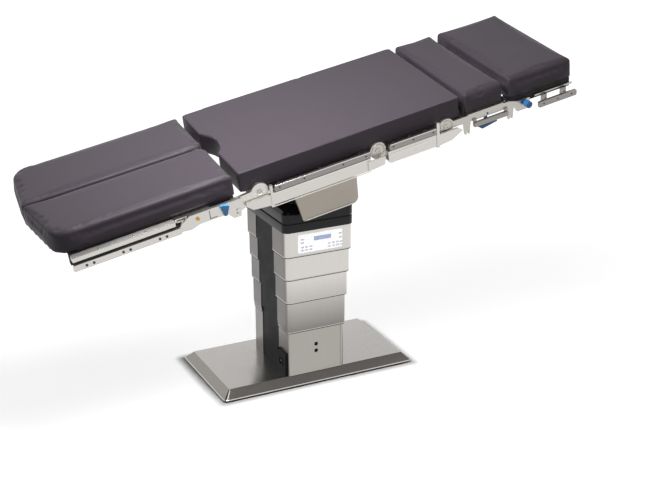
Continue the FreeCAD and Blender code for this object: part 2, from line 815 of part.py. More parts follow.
def make_column_head():
    collar = new_body("column_collar")
    band_top = "(collar_bottom + collar_band)"
    groove_top = f"({band_top} + collar_groove)"
    cap_top = f"({groove_top} + collar_cap)"
    corner = "(shell_corner + collar_margin)"
    back = "(rear_corner + collar_margin)"
    full = (0, corner, back, "-collar_margin")
    slim = (0, f"{corner} - collar_groove_depth", f"{back} - collar_groove_depth",
            "collar_groove_depth - collar_margin")
    pad(collar, "XY", "collar_bottom", band_top, draw_stage, *full)
    pad(collar, "XY", band_top, groove_top, draw_stage, *slim)
    pad(collar, "XY", groove_top, cap_top, draw_stage, *full)
    lower = new_sketch(collar, "XY", cap_top)
    draw_stage(lower, *full)
    upper = new_sketch(collar, "XY", f"{cap_top} + collar_top_rise")
    draw_stage(upper, 0, f"{corner} - collar_top_run", "rear_corner",
               "collar_top_run - collar_margin")
    crown = collar.newObject("PartDesign::AdditiveLoft", "collar_crown")
    crown.Profile = lower
    crown.Sections = [upper]
    crown.Ruled = True
    doc.recompute()
    seat_top = "(collar_bottom + collar_seat)"
    pocket(collar, "XY", "collar_bottom", seat_top, draw_stage, 0,
           "shell_corner + collar_fit", "rear_corner + collar_fit", "-collar_fit")
    pocket(collar, "XY", seat_top, "collar_room_top", draw_stage, 0,
           "shell_corner - collar_room_margin", "rear_corner", "collar_room_margin")
    pocket(collar, "XY", "collar_room_top", f"{cap_top} + collar_top_rise",
           draw_circles, [("0", "0")], "collar_mouth_radius")
    finish(collar, "column_collar", COLUMN)

    casting = new_body("bearing_casting")
    pad(casting, "XY", "collar_room_top - head_plate_thickness", "collar_room_top",
        draw_stage, 0, "shell_corner - collar_room_margin - head_plate_gap",
        "rear_corner - head_plate_gap / 2", "collar_room_margin + head_plate_gap")
    cheek = [
        ("-cheek_half_foot", "collar_room_top - 1"), ("cheek_half_foot", "collar_room_top - 1"),
        ("cheek_radius", "tilt_height + cheek_radius"),
        ("-cheek_radius", "tilt_height + cheek_radius"),
    ]
    for low, high in (("-cheek_inner - cheek_thickness", "-cheek_inner"),
                      ("cheek_inner", "cheek_inner + cheek_thickness")):
        pad(casting, "XZ", low, high, draw_polygon, cheek)
    round_corners(casting, "XZ", cheek[2:], "cheek_radius - 6")
    pocket(casting, "XZ", "-cheek_inner - cheek_thickness", "cheek_inner + cheek_thickness",
           draw_circles, [("0", "tilt_height")], "trend_journal_radius + running_gap")
    finish(casting, "bearing_casting", COLUMN)

    drive = new_body("tilt_drive")
    axle = "collar_room_top + drive_foot + drive_radius"
    pad(drive, "XZ", "-drive_half_length", "drive_half_length", draw_circles,
        [("0", axle)], "drive_radius")
    pad(drive, "XZ", "-drive_half_length / 2", "drive_half_length / 2", draw_polygon,
        rectangle("-drive_radius", "drive_radius", "collar_room_top", axle))
    finish(drive, "tilt_drive", COLUMN)

    bellows = new_body("tilt_bellows")
    foot = f"({cap_top} + collar_top_rise)"
    profile = [("bellows_inner", foot), ("bellows_outer - bellows_fold", foot)]
    for i in range(BELLOWS_FOLDS):
        rise = f"{foot} + {i} * bellows_pitch"
        ridge = f"bellows_outer - {i} * bellows_taper"
        profile.append((ridge, f"{rise} + bellows_pitch / 2"))
        profile.append((f"{ridge} - bellows_fold", f"{rise} + bellows_pitch"))
    profile.append(("bellows_inner", f"{foot} + {BELLOWS_FOLDS} * bellows_pitch"))
    sketch = new_sketch(bellows, "XZ", "0")
    draw_polygon(sketch, profile)
    turned = bellows.newObject("PartDesign::Revolution", "tilt_bellows_turned")
    turned.Profile = sketch
    turned.ReferenceAxis = (sketch, ["V_Axis"])
    turned.Angle = 360
    doc.recompute()
    finish(bellows, "tilt_bellows", COLUMN)


# Tilting joint: a cross with two journals each way

def make_cross():
    cross = new_body("tilt_cross")
    pad(cross, "XY", "-cross_half_height", "cross_half_height", draw_rounded_rectangle,
        "cross_half", "cross_half", "bevel_corner")
    reach = "(cheek_inner + cheek_thickness + journal_end_gap)"
    pad(cross, "XZ", f"-{reach}", reach, draw_circles, [("0", "0")], "trend_journal_radius")
    reach = "(cross_half + hub_cheek_gap + hub_cheek_thickness)"
    pad(cross, "YZ", f"-{reach}", reach, draw_circles, [("0", "0")], "lateral_journal_radius")
    finish(cross, "tilt_cross", CROSS)


def make_hub():
    hub = new_body("hub_casting")
    plate_top = "(hub_bottom + hub_plate_thickness)"
    pad(hub, "XY", "hub_bottom", plate_top, draw_polygon,
        rectangle("hub_start", "hub_end", "-hub_half_width", "hub_half_width"))
    for start, end in (("hub_start", "hub_start + hub_web_thickness"),
                       ("hub_end - hub_web_thickness", "hub_end")):
        pad(hub, "XY", plate_top, "deck_level - deck_thickness", draw_polygon,
            rectangle(start, end, "-hub_half_width", "hub_half_width"))
    inner = "(cross_half + hub_cheek_gap)"
    outer = f"({inner} + hub_cheek_thickness)"
    foot = "-top_over_tilt - cheek_radius"
    cheek = [("-hub_cheek_half", "hub_bottom"), ("hub_cheek_half", "hub_bottom"),
             ("cheek_radius", foot), ("-cheek_radius", foot)]
    for low, high in ((f"-{outer}", f"-{inner}"), (inner, outer)):
        pad(hub, "YZ", low, high, draw_polygon, cheek)
    round_corners(hub, "YZ", cheek[2:], "cheek_radius - 6")
    pocket(hub, "YZ", f"-{outer}", outer, draw_circles, [("0", "-top_over_tilt")],
           "lateral_journal_radius + running_gap")
    finish(hub, "hub_casting", TOP)

    cover = new_body("hub_cover")
    outline = [("hub_cover_left", "hub_cover_top"), ("hub_cover_right", "hub_cover_top"),
               ("hub_cover_right", "hub_cover_bottom"),
               ("hub_cover_foot_left", "hub_cover_bottom")]
    pad(cover, "XZ", "-hub_half_width - hub_cover_thickness", "-hub_half_width",
        draw_polygon, outline)
    round_corners(cover, "XZ", outline[2:3], "hub_cover_corner")
    round_corners(cover, "XZ", outline[3:], "hub_cover_small_corner")
    finish(pair("hub_covers", [cover]), "hub_covers", TOP)


# Table top

def channel_deck(body, start, end, half_width, edge_bottom):
    """A deck plate with a downturned bar along each side."""
    top = "-pad_thickness"
    under = "deck_level - deck_thickness"
    inner = f"({half_width} - deck_edge_width)"
    points = [
        (f"-{half_width}", top), (f"-{half_width}", edge_bottom), (f"-{inner}", edge_bottom),
        (f"-{inner}", under), (inner, under), (inner, edge_bottom),
        (half_width, edge_bottom), (half_width, top),
    ]
    pad(body, "YZ", start, end, draw_polygon, points)


LANES = {
    "lug": ("lug_inner", "lug_outer"),
    "disc": ("disc_inner", "disc_outer"),
    "block": ("block_inner", "beam_outer"),
}


def on_lane(body, lane, draw, *shape, both=False):
    """Adds a shape on the left side between the two faces of a lane."""
    inner, outer = LANES[lane]
    pad(body, "XZ", f"-{outer}", f"-{inner}", draw, *shape)
    if both:
        pad(body, "XZ", inner, outer, draw, *shape)


def hinge_lugs(body, pivot_x, pivot_z, deck_end):
    """Round lugs on both sides that carry the pins of a hinge."""
    on_lane(body, "lug", draw_circles, [(pivot_x, pivot_z)], "lug_radius", both=True)
    low, high = sorted((pivot_x, deck_end), key=size)
    neck = rectangle(low, high, f"{pivot_z} - lug_radius", "-pad_thickness - 1")
    on_lane(body, "lug", draw_polygon, neck, both=True)


def bore_lugs(body, pivot_x, pivot_z, radius):
    pocket(body, "XZ", "-lug_outer", "lug_outer", draw_circles, [(pivot_x, pivot_z)],
           f"{radius} + running_gap")


def cut_notch(body, low, high, margin):
    """The round cut-out between the legs, open at the leg end of the seat."""
    radius = "((notch_half_width ^ 2 + notch_depth ^ 2) / (2 * notch_depth))"
    centre = f"seat_pad_start + notch_depth - {radius}"
    pocket(body, "XY", low, high, draw_circles, [(centre, "0")], f"{radius} + {margin}")


def side_beam(label, start, end, side_gap):
    """A side beam with a chamfered outer bottom edge, held back by a gap."""
    body = new_body(label)
    top = "deck_edge_bottom"
    outer = f"-beam_outer + {side_gap}"
    points = [(outer, top), ("-beam_inner", top), ("-beam_inner", "beam_bottom"),
              (f"{outer} + beam_chamfer", "beam_bottom"),
              (outer, "beam_bottom + beam_chamfer")]
    pad(body, "YZ", start, end, draw_polygon, points)
    return body


def clamp_rail(label, start, end, top):
    """A flat side rail for clamps, with its ends chamfered."""
    body = new_body(label)
    low = f"({top} - rail_height)"
    points = [
        (f"{start} + rail_end_chamfer", top), (start, f"{top} - rail_end_chamfer"),
        (start, f"{low} + rail_end_chamfer"), (f"{start} + rail_end_chamfer", low),
        (f"{end} - rail_end_chamfer", low), (end, f"{low} + rail_end_chamfer"),
        (end, f"{top} - rail_end_chamfer"), (f"{end} - rail_end_chamfer", top),
    ]
    pad(body, "XZ", "-rail_inner - rail_thickness", "-rail_inner", draw_polygon, points)
    return body


def rail_spacers(label, start, end):
    spacers = []
    places = (f"{start} + spacer_from_end", f"({start} + {end}) / 2", f"{end} - spacer_from_end")
    for number, place in enumerate(places, start=1):
        spacer = new_body(f"{label}_{number}")
        pad(spacer, "XZ", "-rail_inner", "-deck_half_width", draw_circles,
            [(place, "spacer_z")], "spacer_radius")
        spacers.append(spacer)
    return spacers


def cushion(label, points, corners, softened):
    """A pad of the full thickness with rounded corners and a soft top edge."""
    body = new_body(label)
    pad(body, "XY", "-pad_thickness", "0", draw_polygon, points)
    if corners:
        round_corners(body, "XY", corners, "pad_corner")
    if softened:
        bevel_level(body, "0", "pad_edge")
    return body


def make_seat():
    deck = new_body("seat_deck")
    channel_deck(deck, "seat_deck_start", "seat_deck_end", "deck_half_width",
                 "deck_edge_bottom")
    pad(deck, "XY", "-pad_thickness - tongue_thickness", "-pad_thickness", draw_polygon,
        rectangle("tongue_start", "seat_deck_start", "-tongue_half_width",
                  "tongue_half_width"))
    cut_notch(deck, "-pad_thickness - tongue_thickness", "-pad_thickness",
              "tongue_notch_margin")
    hinge_lugs(deck, "leg_pivot_x", "leg_pivot_z", "seat_deck_start")
    hinge_lugs(deck, "back_pivot_x", "back_pivot_z", "seat_deck_end")
    bore_lugs(deck, "leg_pivot_x", "leg_pivot_z", "hinge_pin_radius")
    bore_lugs(deck, "back_pivot_x", "back_pivot_z", "hinge_pin_radius")
    finish(deck, "seat_deck", TOP)

    beam = side_beam("seat_beam", "seat_beam_start", "seat_beam_end", "0")
    block = [("seat_beam_start", "deck_edge_bottom - 3"), ("seat_beam_start - 104",
             "deck_edge_bottom - 6"), ("seat_beam_start - 108", "deck_edge_bottom - 16"),
             ("seat_beam_start - 82", "beam_bottom + 18"), ("seat_beam_start", "beam_bottom + 8")]
    on_lane(beam, "block", draw_polygon, block)
    pad(beam, "XZ", "-end_plate_outer", "-end_plate_inner", draw_polygon,
        rectangle("seat_beam_start - seat_cap_thickness", "seat_beam_start",
                  "beam_bottom + 2", "rail_top + 2"))
    guard = [("seat_beam_end - 14", "deck_edge_bottom - 10"),
             ("back_pivot_x + 22", "deck_edge_bottom - 10"),
             ("back_pivot_x + 17", "beam_bottom + 14"),
             ("back_pivot_x - 30", "beam_bottom + beam_chamfer"),
             ("seat_beam_end - 14", "beam_bottom + beam_chamfer")]
    pad(beam, "XZ", "-beam_outer - guard_thickness", "-beam_outer", draw_polygon, guard)
    finish(pair("seat_beams", [beam]), "seat_beams", TOP)

    rail = clamp_rail("seat_rail", "seat_rail_start", "seat_rail_end", "rail_top")
    spacers = rail_spacers("seat_spacer", "seat_rail_start", "seat_rail_end")
    finish(pair("seat_rails", [rail] + spacers), "seat_rails", TOP)

    end = "back_pivot_x - flex_half"
    points = rectangle("seat_pad_start", end, "-pad_half_width", "pad_half_width")
    seat = new_body("seat_pad")
    pad(seat, "XY", "-pad_thickness", "0", draw_polygon, points)
    round_corners(seat, "XY", [points[0], points[3]], "pad_corner")
    cut_notch(seat, "-pad_thickness", "0", "0")
    finish(seat, "seat_pad", TOP)

    flex = new_body("pad_flex_zone")
    pad(flex, "XY", "-pad_thickness", "0", draw_polygon,
        rectangle(f"{end} + soft_gap", "back_pivot_x + flex_half - soft_gap",
                  "-pad_half_width", "pad_half_width"))
    finish(flex, "pad_flex_zone", TOP)


def make_lower_back():
    deck = new_body("back_deck")
    channel_deck(deck, "back_deck_start", "back_deck_end", "deck_half_width",
                 "deck_edge_bottom")
    hinge_lugs(deck, "upper_pivot_x", "upper_pivot_z", "back_deck_end")
    bore_lugs(deck, "upper_pivot_x", "upper_pivot_z", "hinge_pin_radius")
    finish(deck, "back_deck", TOP)

    beam = side_beam("back_beam", "back_beam_start", "back_beam_end", "beam_side_gap")
    round_corners(beam, "XZ", [("back_beam_start", "beam_bottom")], "back_beam_round")
    plate_end = "back_beam_end + end_plate_thickness"
    pad(beam, "XZ", "-end_plate_outer", "-end_plate_inner", draw_polygon,
        rectangle("back_beam_end", plate_end, "beam_bottom + 2", "end_plate_top"))
    block = [(plate_end, "deck_edge_bottom - 4"), (f"{plate_end} + 86", "deck_edge_bottom - 4"),
             (f"{plate_end} + 106", "deck_edge_bottom - 20"),
             (f"{plate_end} + 58", "beam_bottom + 12"), (plate_end, "beam_bottom + 6")]
    pad(beam, "XZ", "-beam_outer", "-end_plate_inner", draw_polygon, block)
    finish(pair("back_beams", [beam]), "back_beams", TOP)

    rail = clamp_rail("back_rail", "back_rail_start", "back_rail_end", "rail_top")
    spacers = rail_spacers("back_spacer", "back_rail_start", "back_rail_end")
    finish(pair("back_rails", [rail] + spacers), "back_rails", TOP)

    disc = new_body("back_hinge_disc")
    on_lane(disc, "disc", draw_circles, [("back_pivot_x", "back_pivot_z")], "disc_radius")
    on_lane(disc, "disc", draw_polygon,
            rectangle("back_pivot_x", "back_beam_start", "deck_edge_bottom - 20",
                      "deck_edge_bottom"))
    pad(disc, "XZ", "-disc_outer", "-lug_inner", draw_circles,
        [("back_pivot_x", "back_pivot_z")], "hinge_pin_radius")
    finish(pair("back_hinge_discs", [disc]), "back_hinge_discs", TOP)

    points = rectangle("back_pivot_x + flex_half", "back_pad_end",
                       "-pad_half_width", "pad_half_width")
    finish(cushion("back_pad", points, points[1:3], False), "back_pad", TOP)


def hook_tab(x):
    """A hook with a slot open downwards, hanging from the side frame."""
    narrow = "hook_half_width * 0.65"
    return [
        (f"{x} + hook_half_width", "frame_bottom"),
        (f"{x} + {narrow}", "hook_bottom"), (f"{x} + hook_slot / 2", "hook_bottom"),
        (f"{x} + hook_slot / 2", "hook_bottom + hook_slot_depth"),
        (f"{x} - hook_slot / 2", "hook_bottom + hook_slot_depth"),
        (f"{x} - hook_slot / 2", "hook_bottom"), (f"{x} - {narrow}", "hook_bottom"),
        (f"{x} - hook_half_width", "frame_bottom"),
    ]


def make_upper_back():
    frame = new_body("upper_back_frame")
    pad(frame, "YZ", "upper_deck_start", "upper_deck_end", draw_polygon,
        rectangle("-disc_outer", "disc_outer", "deck_level - deck_thickness",
                  "-pad_thickness"))
    outline = [("upper_pivot_x", "frame_top"), ("hook_second_x - 8", "frame_top"),
               ("hook_second_x + 32", "frame_end_top"), ("frame_end", "frame_end_top"),
               ("frame_end", "frame_end_bottom"), ("frame_end - 58", "frame_end_bottom")]
    outline += hook_tab("hook_second_x") + hook_tab("hook_first_x")
    outline.append(("upper_pivot_x", "frame_bottom"))
    upper_pivot = [("upper_pivot_x", "upper_pivot_z")]
    head_pivot = [("head_pivot_x", "head_pivot_z")]
    on_lane(frame, "disc", draw_polygon, outline, both=True)
    on_lane(frame, "disc", draw_circles, upper_pivot, "disc_radius", both=True)
    for low, high in (("-disc_outer", "-lug_inner"), ("lug_inner", "disc_outer")):
        pad(frame, "XZ", low, high, draw_circles, upper_pivot, "hinge_pin_radius")
        pad(frame, "XZ", low, high, draw_circles, head_pivot, "head_pin_radius")
    pocket(frame, "XZ", "-disc_outer", "disc_outer", draw_circles,
           [("release_x", "release_z")], "release_radius + running_gap")
    finish(frame, "upper_back_frame", TOP)

    rail = new_body("short_rail")
    bar = rectangle("short_rail_start", "short_rail_end", "short_rail_bottom",
                    "short_rail_top")
    pad(rail, "XZ", "-disc_outer - short_rail_thickness", "-disc_outer", draw_polygon, bar)
    round_corners(rail, "XZ", bar, "rail_end_chamfer")
    for low, high in (("short_rail_start", "short_rail_start + short_rail_end_width"),
                      ("short_rail_end - short_rail_end_width", "short_rail_end")):
        pad(rail, "XZ", "-disc_outer - short_rail_thickness / 2", "-disc_outer", draw_polygon,
            rectangle(low, high, "short_rail_bottom + rail_end_chamfer",
                      "frame_bottom + short_rail_end_rise"))
    finish(pair("upper_short_rails", [rail]), "upper_short_rails", TOP)

    release = new_body("release_bar")
    pad(release, "XZ", "-disc_outer", "disc_outer", draw_circles,
        [("release_x", "release_z")], "release_radius")
    arm = "release_radius + 3"
    blade = [
        (f"release_x - {arm}", f"release_z + {arm}"), (f"release_x + {arm}", f"release_z + {arm}"),
        (f"release_x + {arm}", "blade_top"), ("release_x + blade_half_length", "blade_top"),
        ("release_x + blade_half_length", "blade_top - 6"),
        ("release_x - blade_half_length / 2", "blade_bottom"),
        ("release_x - blade_half_length", "blade_top - 2"), (f"release_x - {arm}", "blade_top"),
    ]
    for low, high in (("-release_outer", "-release_inner"), ("release_inner", "release_outer")):
        pad(release, "XZ", low, high, draw_polygon, blade)
    finish(release, "release_bar", TOP)

    points = rectangle("upper_pad_start", "upper_pad_end", "-pad_half_width", "pad_half_width")
    finish(cushion("upper_back_pad", points, points, True), "upper_back_pad", TOP)


def make_head():
    frame = new_body("head_frame")
    channel_deck(frame, "head_frame_start", "head_frame_end", "lug_outer",
                 "head_bar_bottom")
    on_lane(frame, "lug", draw_circles, [("head_pivot_x", "head_pivot_z")], "lug_radius",
            both=True)
    bore_lugs(frame, "head_pivot_x", "head_pivot_z", "head_pin_radius")
    finish(frame, "head_frame", TOP)

    rail = clamp_rail("head_rail", "head_rail_start", "head_rail_end", "head_rail_top")
    posts = []
    for i in range(2):
        x = f"(head_post_first + {i} * head_post_pitch)"
        post = new_body(f"head_post_{i + 1}")
        pad(post, "XZ", "-rail_inner", "-lug_outer", draw_polygon,
            rectangle(f"{x} - head_post_width / 2", f"{x} + head_post_width / 2",
                      "head_post_bottom", "head_post_top"))
        posts.append(post)
    finish(pair("head_rails", [rail] + posts), "head_rails", TOP)

    start = "(disc_outer + knob_gap)"
    knob = new_body("head_knob")
    pad(knob, "XZ", f"-({start} + knob_stem_length)", f"-{start}", draw_circles,
        [("head_pivot_x", "head_pivot_z")], "knob_stem_radius")
    pad(knob, "XZ", f"-({start} + knob_stem_length + knob_length)",
        f"-({start} + knob_stem_length)", draw_circles,
        [("head_pivot_x", "head_pivot_z")], "knob_radius")
    finish(group("head_knob_left", [knob]), "head_knob_left", TOP)
    finish(group("head_knob_right", [mirrored(knob, ACROSS)]), "head_knob_right", TOP)

    points = rectangle("head_pad_start", "head_pad_end", "-pad_half_width", "pad_half_width")
    finish(cushion("head_pad", points, points, True), "head_pad", TOP)


# Leg sections: modelled on the left and mirrored to the right

def leg_pad():
    inner = "-pad_split / 2"
    points = [("leg_pad_start", inner), ("leg_pad_start", "-pad_half_width"),
              ("leg_pad_side", "-pad_half_width"), ("leg_pad_tip", inner)]
    body = new_body("leg_pad")
    pad(body, "XY", "-pad_thickness", "0", draw_polygon, points)
    round_corners(body, "XY", points[2:3], "leg_pad_corner")
    round_corners(body, "XY", points[:1], "leg_pad_inner_corner")
    round_corners(body, "XY", points[1:2], "pad_corner")
    bevel_level(body, "0", "pad_edge")
    return [body]


def leg_frame():
    body = new_body("leg_frame")
    top = "-pad_thickness"
    under = "-pad_thickness - leg_frame_thickness"
    inner = "-deck_half_width + deck_edge_width"
    pad(body, "YZ", "leg_frame_start", "leg_frame_end", draw_polygon, [
        ("-deck_half_width", top), ("-deck_half_width", "leg_frame_bottom"),
        (inner, "leg_frame_bottom"), (inner, under), ("-pad_split * 2", under),
        ("-pad_split * 2", top)])
    return [body]


def leg_rail():
    items = [clamp_rail("leg_rail", "leg_rail_start", "leg_rail_end", "leg_rail_top")]
    for i in range(3):
        x = f"(leg_rail_foot_first + {i} * leg_rail_foot_pitch)"
        foot = new_body(f"leg_rail_foot_{i + 1}")
        pad(foot, "XZ", "-rail_inner", "-deck_half_width", draw_polygon,
            rectangle(f"{x} - leg_rail_foot_width / 2", f"{x} + leg_rail_foot_width / 2",
                      "leg_rail_foot_bottom", "leg_bar_bottom"))
        items.append(foot)
    bar = new_body("leg_side_bar")
    pad(bar, "XZ", "-rail_inner - leg_bar_lip", "-deck_half_width", draw_polygon,
        rectangle("leg_bar_start", "leg_bar_end", "leg_bar_bottom", "leg_bar_top"))
    block = new_body("leg_slot_block")
    low = "leg_bar_bottom + leg_bar_lip"
    pad(block, "XZ", "-block_inner", "-deck_half_width", draw_polygon,
        rectangle("slot_block_start", "slot_block_end", low, "bracket_top - 2"))
    pocket(block, "XZ", "-block_inner", "-deck_half_width - 2", draw_polygon,
           rectangle("slot_block_start + slot_block_rim", "bracket_start + 24",
                     f"{low} + slot_block_rim", "bracket_top - slot_block_rim"))
    return items + [bar, block]


def leg_arm():
    """The turning arm: hinge disc, arm and the pin that the bracket hooks on."""
    body = new_body("leg_arm")
    pivot = ("leg_pivot_x", "leg_pivot_z")
    on_lane(body, "disc", draw_polygon, [
        ("leg_pivot_x", "leg_pivot_z + 14"), ("hook_pin_x - 18", "leg_pivot_z + 4"),
        ("hook_pin_x - 24", "hook_pin_z - 14"), ("hook_pin_x + 8", "hook_pin_z - 17"),
        ("leg_pivot_x - 50", "leg_pivot_z - 38"), ("leg_pivot_x", "leg_pivot_z - 18")])
    on_lane(body, "disc", draw_circles, [pivot], "disc_radius")
    pad(body, "XZ", "-disc_outer", "-lug_inner", draw_circles, [pivot], "hinge_pin_radius")
    pad(body, "XZ", "-beam_outer", "-disc_inner", draw_circles,
        [("hook_pin_x", "hook_pin_z")], "hook_pin_radius")
    return [body]


def leg_bracket():
    """The hooked plate that hangs the leg section on the arm's pin."""
    body = new_body("leg_bracket")
    room = "(hook_pin_radius + hook_fit)"
    points = [
        ("bracket_start", "bracket_top - 24"), ("bracket_start + 34", "bracket_top"),
        ("bracket_end", "bracket_top"), ("bracket_end + 3", f"hook_pin_z + {room}"),
        (f"hook_pin_x - {room}", f"hook_pin_z + {room}"),
        (f"hook_pin_x - {room}", f"hook_pin_z - {room}"),
        ("hook_pin_x + 8", f"hook_pin_z - {room}"), ("hook_pin_x + 6", f"hook_pin_z - {room} - 15"),
        (f"hook_pin_x - {room} - 12", f"hook_pin_z - {room} - 15"),
        ("hook_pin_x - 44", "bracket_bottom"), ("hook_pin_x - 152", "bracket_bottom"),
        ("hook_pin_x - 184", "bracket_bottom - 11"), ("bracket_start", "bracket_bottom - 6"),
    ]
    on_lane(body, "block", draw_polygon, points)
    pad(body, "XZ", "-block_inner", "-deck_half_width", draw_polygon,
        rectangle("slot_block_end + 1", "bracket_boss_end", "leg_frame_bottom",
                  "bracket_top - 3"))
    slit_x, slit_z = "(bracket_boss_end - 9)", "(bracket_bottom + 6)"
    pocket(body, "XZ", "-beam_outer", "-block_inner", draw_polygon, [
        (slit_x, "bracket_top - 6"), (slit_x, slit_z), (f"{slit_x} + 28", slit_z),
        (f"{slit_x} + 28", f"{slit_z} + bracket_slit"),
        (f"{slit_x} + bracket_slit", f"{slit_z} + bracket_slit"),
        (f"{slit_x} + bracket_slit", "bracket_top - 6")])
    pocket(body, "XZ", "-beam_outer", "-block_inner", draw_circles,
           [("lever_x", "lever_z")], "lever_pin_radius + running_gap")
    pocket(body, "XZ", "-beam_outer", "-button_floor", draw_circles,
           [("button_x", "button_z")], "button_radius + running_gap")
    return [body]


def leg_button():
    """A push button that slides in a blind bore of the bracket."""
    body = new_body("leg_button")
    pad(body, "XZ", "-beam_outer - button_rise", "-button_floor - button_travel - soft_gap",
        draw_circles, [("button_x", "button_z")], "button_radius")
    return [body]


def leg_lever():
    """The flap that frees the hook."""
    body = new_body("leg_lever")
    face = "(beam_outer + lever_gap)"
    pad(body, "XZ", f"-({face} + lever_thickness)", "-block_inner", draw_circles,
        [("lever_x", "lever_z")], "lever_pin_radius")
    points = [("lever_x - lever_half_width", "lever_z + 10"),
              ("lever_x + lever_half_width", "lever_z"),
              ("lever_x + 6", "lever_z - lever_drop"), ("lever_x - 5", "lever_z - lever_drop")]
    pad(body, "XZ", f"-({face} + lever_thickness)", f"-{face}", draw_polygon, points)
    round_corners(body, "XZ", points[:1] + points[1:2], "pad_split")
    return [body]


def make_legs():
    makers = {"leg_pad": leg_pad, "leg_frame": leg_frame, "leg_rail": leg_rail,
              "leg_arm": leg_arm, "leg_bracket": leg_bracket, "leg_lever": leg_lever,
              "leg_button": leg_button}
    for name, make in makers.items():
        items = make()
        finish(group(f"{name}_left", items), f"{name}_left", TOP)
        twins = [mirrored(item, ACROSS) for item in items]
        finish(group(f"{name}_right", twins), f"{name}_right", TOP)


make_base()
make_column()
make_lift()
make_column_head()
make_cross()
make_hub()
make_seat()
make_lower_back()
make_upper_back()
make_head()
make_legs()
doc.recompute()

for item in doc.Objects:
    if "Invalid" in item.State or "Error" in item.State:
        raise ValueError(f"{item.Label} failed: {item.State}")
for item in parts:
    if item.Shape.isNull() or not item.Shape.isValid():
        raise ValueError(f"{item.Label} has no valid shape")

os.makedirs("parts", exist_ok=True)
for item in parts:
    item.Shape.exportStep(f"parts/{item.Label}.step")
    box = item.Shape.BoundBox
    print(f"{item.Label}: {len(item.Shape.Solids)} solids, {item.Shape.Volume / 1000:.1f} cm3,"
          f" z {box.ZMin:.1f} to {box.ZMax:.1f}")
print(len(parts), "sub-parts")
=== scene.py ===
import math

import bmesh
import bpy
from mathutils import Matrix, Vector


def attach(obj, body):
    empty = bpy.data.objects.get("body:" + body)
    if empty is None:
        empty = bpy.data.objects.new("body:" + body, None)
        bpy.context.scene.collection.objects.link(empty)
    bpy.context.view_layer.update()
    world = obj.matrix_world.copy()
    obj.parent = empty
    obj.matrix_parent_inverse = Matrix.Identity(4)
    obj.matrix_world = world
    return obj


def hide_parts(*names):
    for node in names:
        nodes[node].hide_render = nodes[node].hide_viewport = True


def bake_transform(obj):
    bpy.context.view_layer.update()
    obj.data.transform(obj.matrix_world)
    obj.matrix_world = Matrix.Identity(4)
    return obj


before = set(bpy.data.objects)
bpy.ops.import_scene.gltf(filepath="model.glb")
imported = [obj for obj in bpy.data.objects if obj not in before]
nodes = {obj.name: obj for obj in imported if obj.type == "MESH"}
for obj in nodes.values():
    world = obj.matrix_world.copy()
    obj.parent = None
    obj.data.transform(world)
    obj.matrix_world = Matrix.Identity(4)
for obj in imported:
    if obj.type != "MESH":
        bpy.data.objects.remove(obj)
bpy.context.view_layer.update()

# The table top stands tilted at rest. Its own frame has x along the top to the
# head, y across, z up, with the origin on the pads above the tilt centre.
tableTop = {
    "tiltCentre": (-0.012, -0.046, 0.811),
    "headUpDeg": 11.18,
    "leftDownDeg": 11.14,
    "topOverTilt": 0.271,
}
topTurn = (
    Matrix.Rotation(math.radians(-tableTop["headUpDeg"]), 4, "Y")
    @ Matrix.Rotation(math.radians(tableTop["leftDownDeg"]), 4, "X")
)
topMatrix = (
    Matrix.Translation(tableTop["tiltCentre"])
    @ topTurn
    @ Matrix.Translation((0, 0, tableTop["topOverTilt"]))
)


# Small helpers for picking, editing and finishing pieces.

def deselectAll():
    if bpy.context.object and bpy.context.object.mode != "OBJECT":
        bpy.ops.object.mode_set(mode="OBJECT")
    bpy.ops.object.select_all(action="DESELECT")


def pick(obj):
    deselectAll()
    obj.select_set(True)
    bpy.context.view_layer.objects.active = obj


def applyModifiers(obj):
    pick(obj)
    for modifier in list(obj.modifiers):
        bpy.ops.object.modifier_apply(modifier=modifier.name)


def settle(obj, matrix):
    # moves the mesh, so that the object stays at the origin
    obj.data.transform(matrix)
    obj.data.update()


def placeInMesh(obj):
    pick(obj)
    bpy.ops.object.transform_apply(location=True, rotation=True, scale=True)


def smoothByAngle(obj, degrees=35):
    pick(obj)
    bpy.ops.object.shade_smooth_by_angle(angle=math.radians(degrees))


def setMaterial(obj, material):
    obj.data.materials.clear()
    obj.data.materials.append(material)


def selectFaces(obj, wanted):
    pick(obj)
    bpy.ops.object.mode_set(mode="EDIT")
    bpy.ops.mesh.select_mode(type="FACE")
    bpy.ops.mesh.select_all(action="DESELECT")
    shape = bmesh.from_edit_mesh(obj.data)
    for face in shape.faces:
        face.select_set(bool(wanted(face)))
    bmesh.update_edit_mesh(obj.data)


def objectMode():
    bpy.ops.object.mode_set(mode="OBJECT")


def bevelAll(obj, width, segments=2):
    bevel = obj.modifiers.new("edge", "BEVEL")
    bevel.width = width
    bevel.segments = segments
    bevel.limit_method = "ANGLE"
    bevel.angle_limit = math.radians(30)
    applyModifiers(obj)


def copyOfNodes(names, name):
    # one merged mesh from copies of CAD nodes
    mesh = bpy.data.meshes.new(name)
    shape = bmesh.new()
    for node in names:
        shape.from_mesh(nodes[node].data)
    bmesh.ops.remove_doubles(shape, verts=shape.verts, dist=1e-6)
    shape.to_mesh(mesh)
    shape.free()
    obj = bpy.data.objects.new(name, mesh)
    bpy.context.scene.collection.objects.link(obj)
    return obj


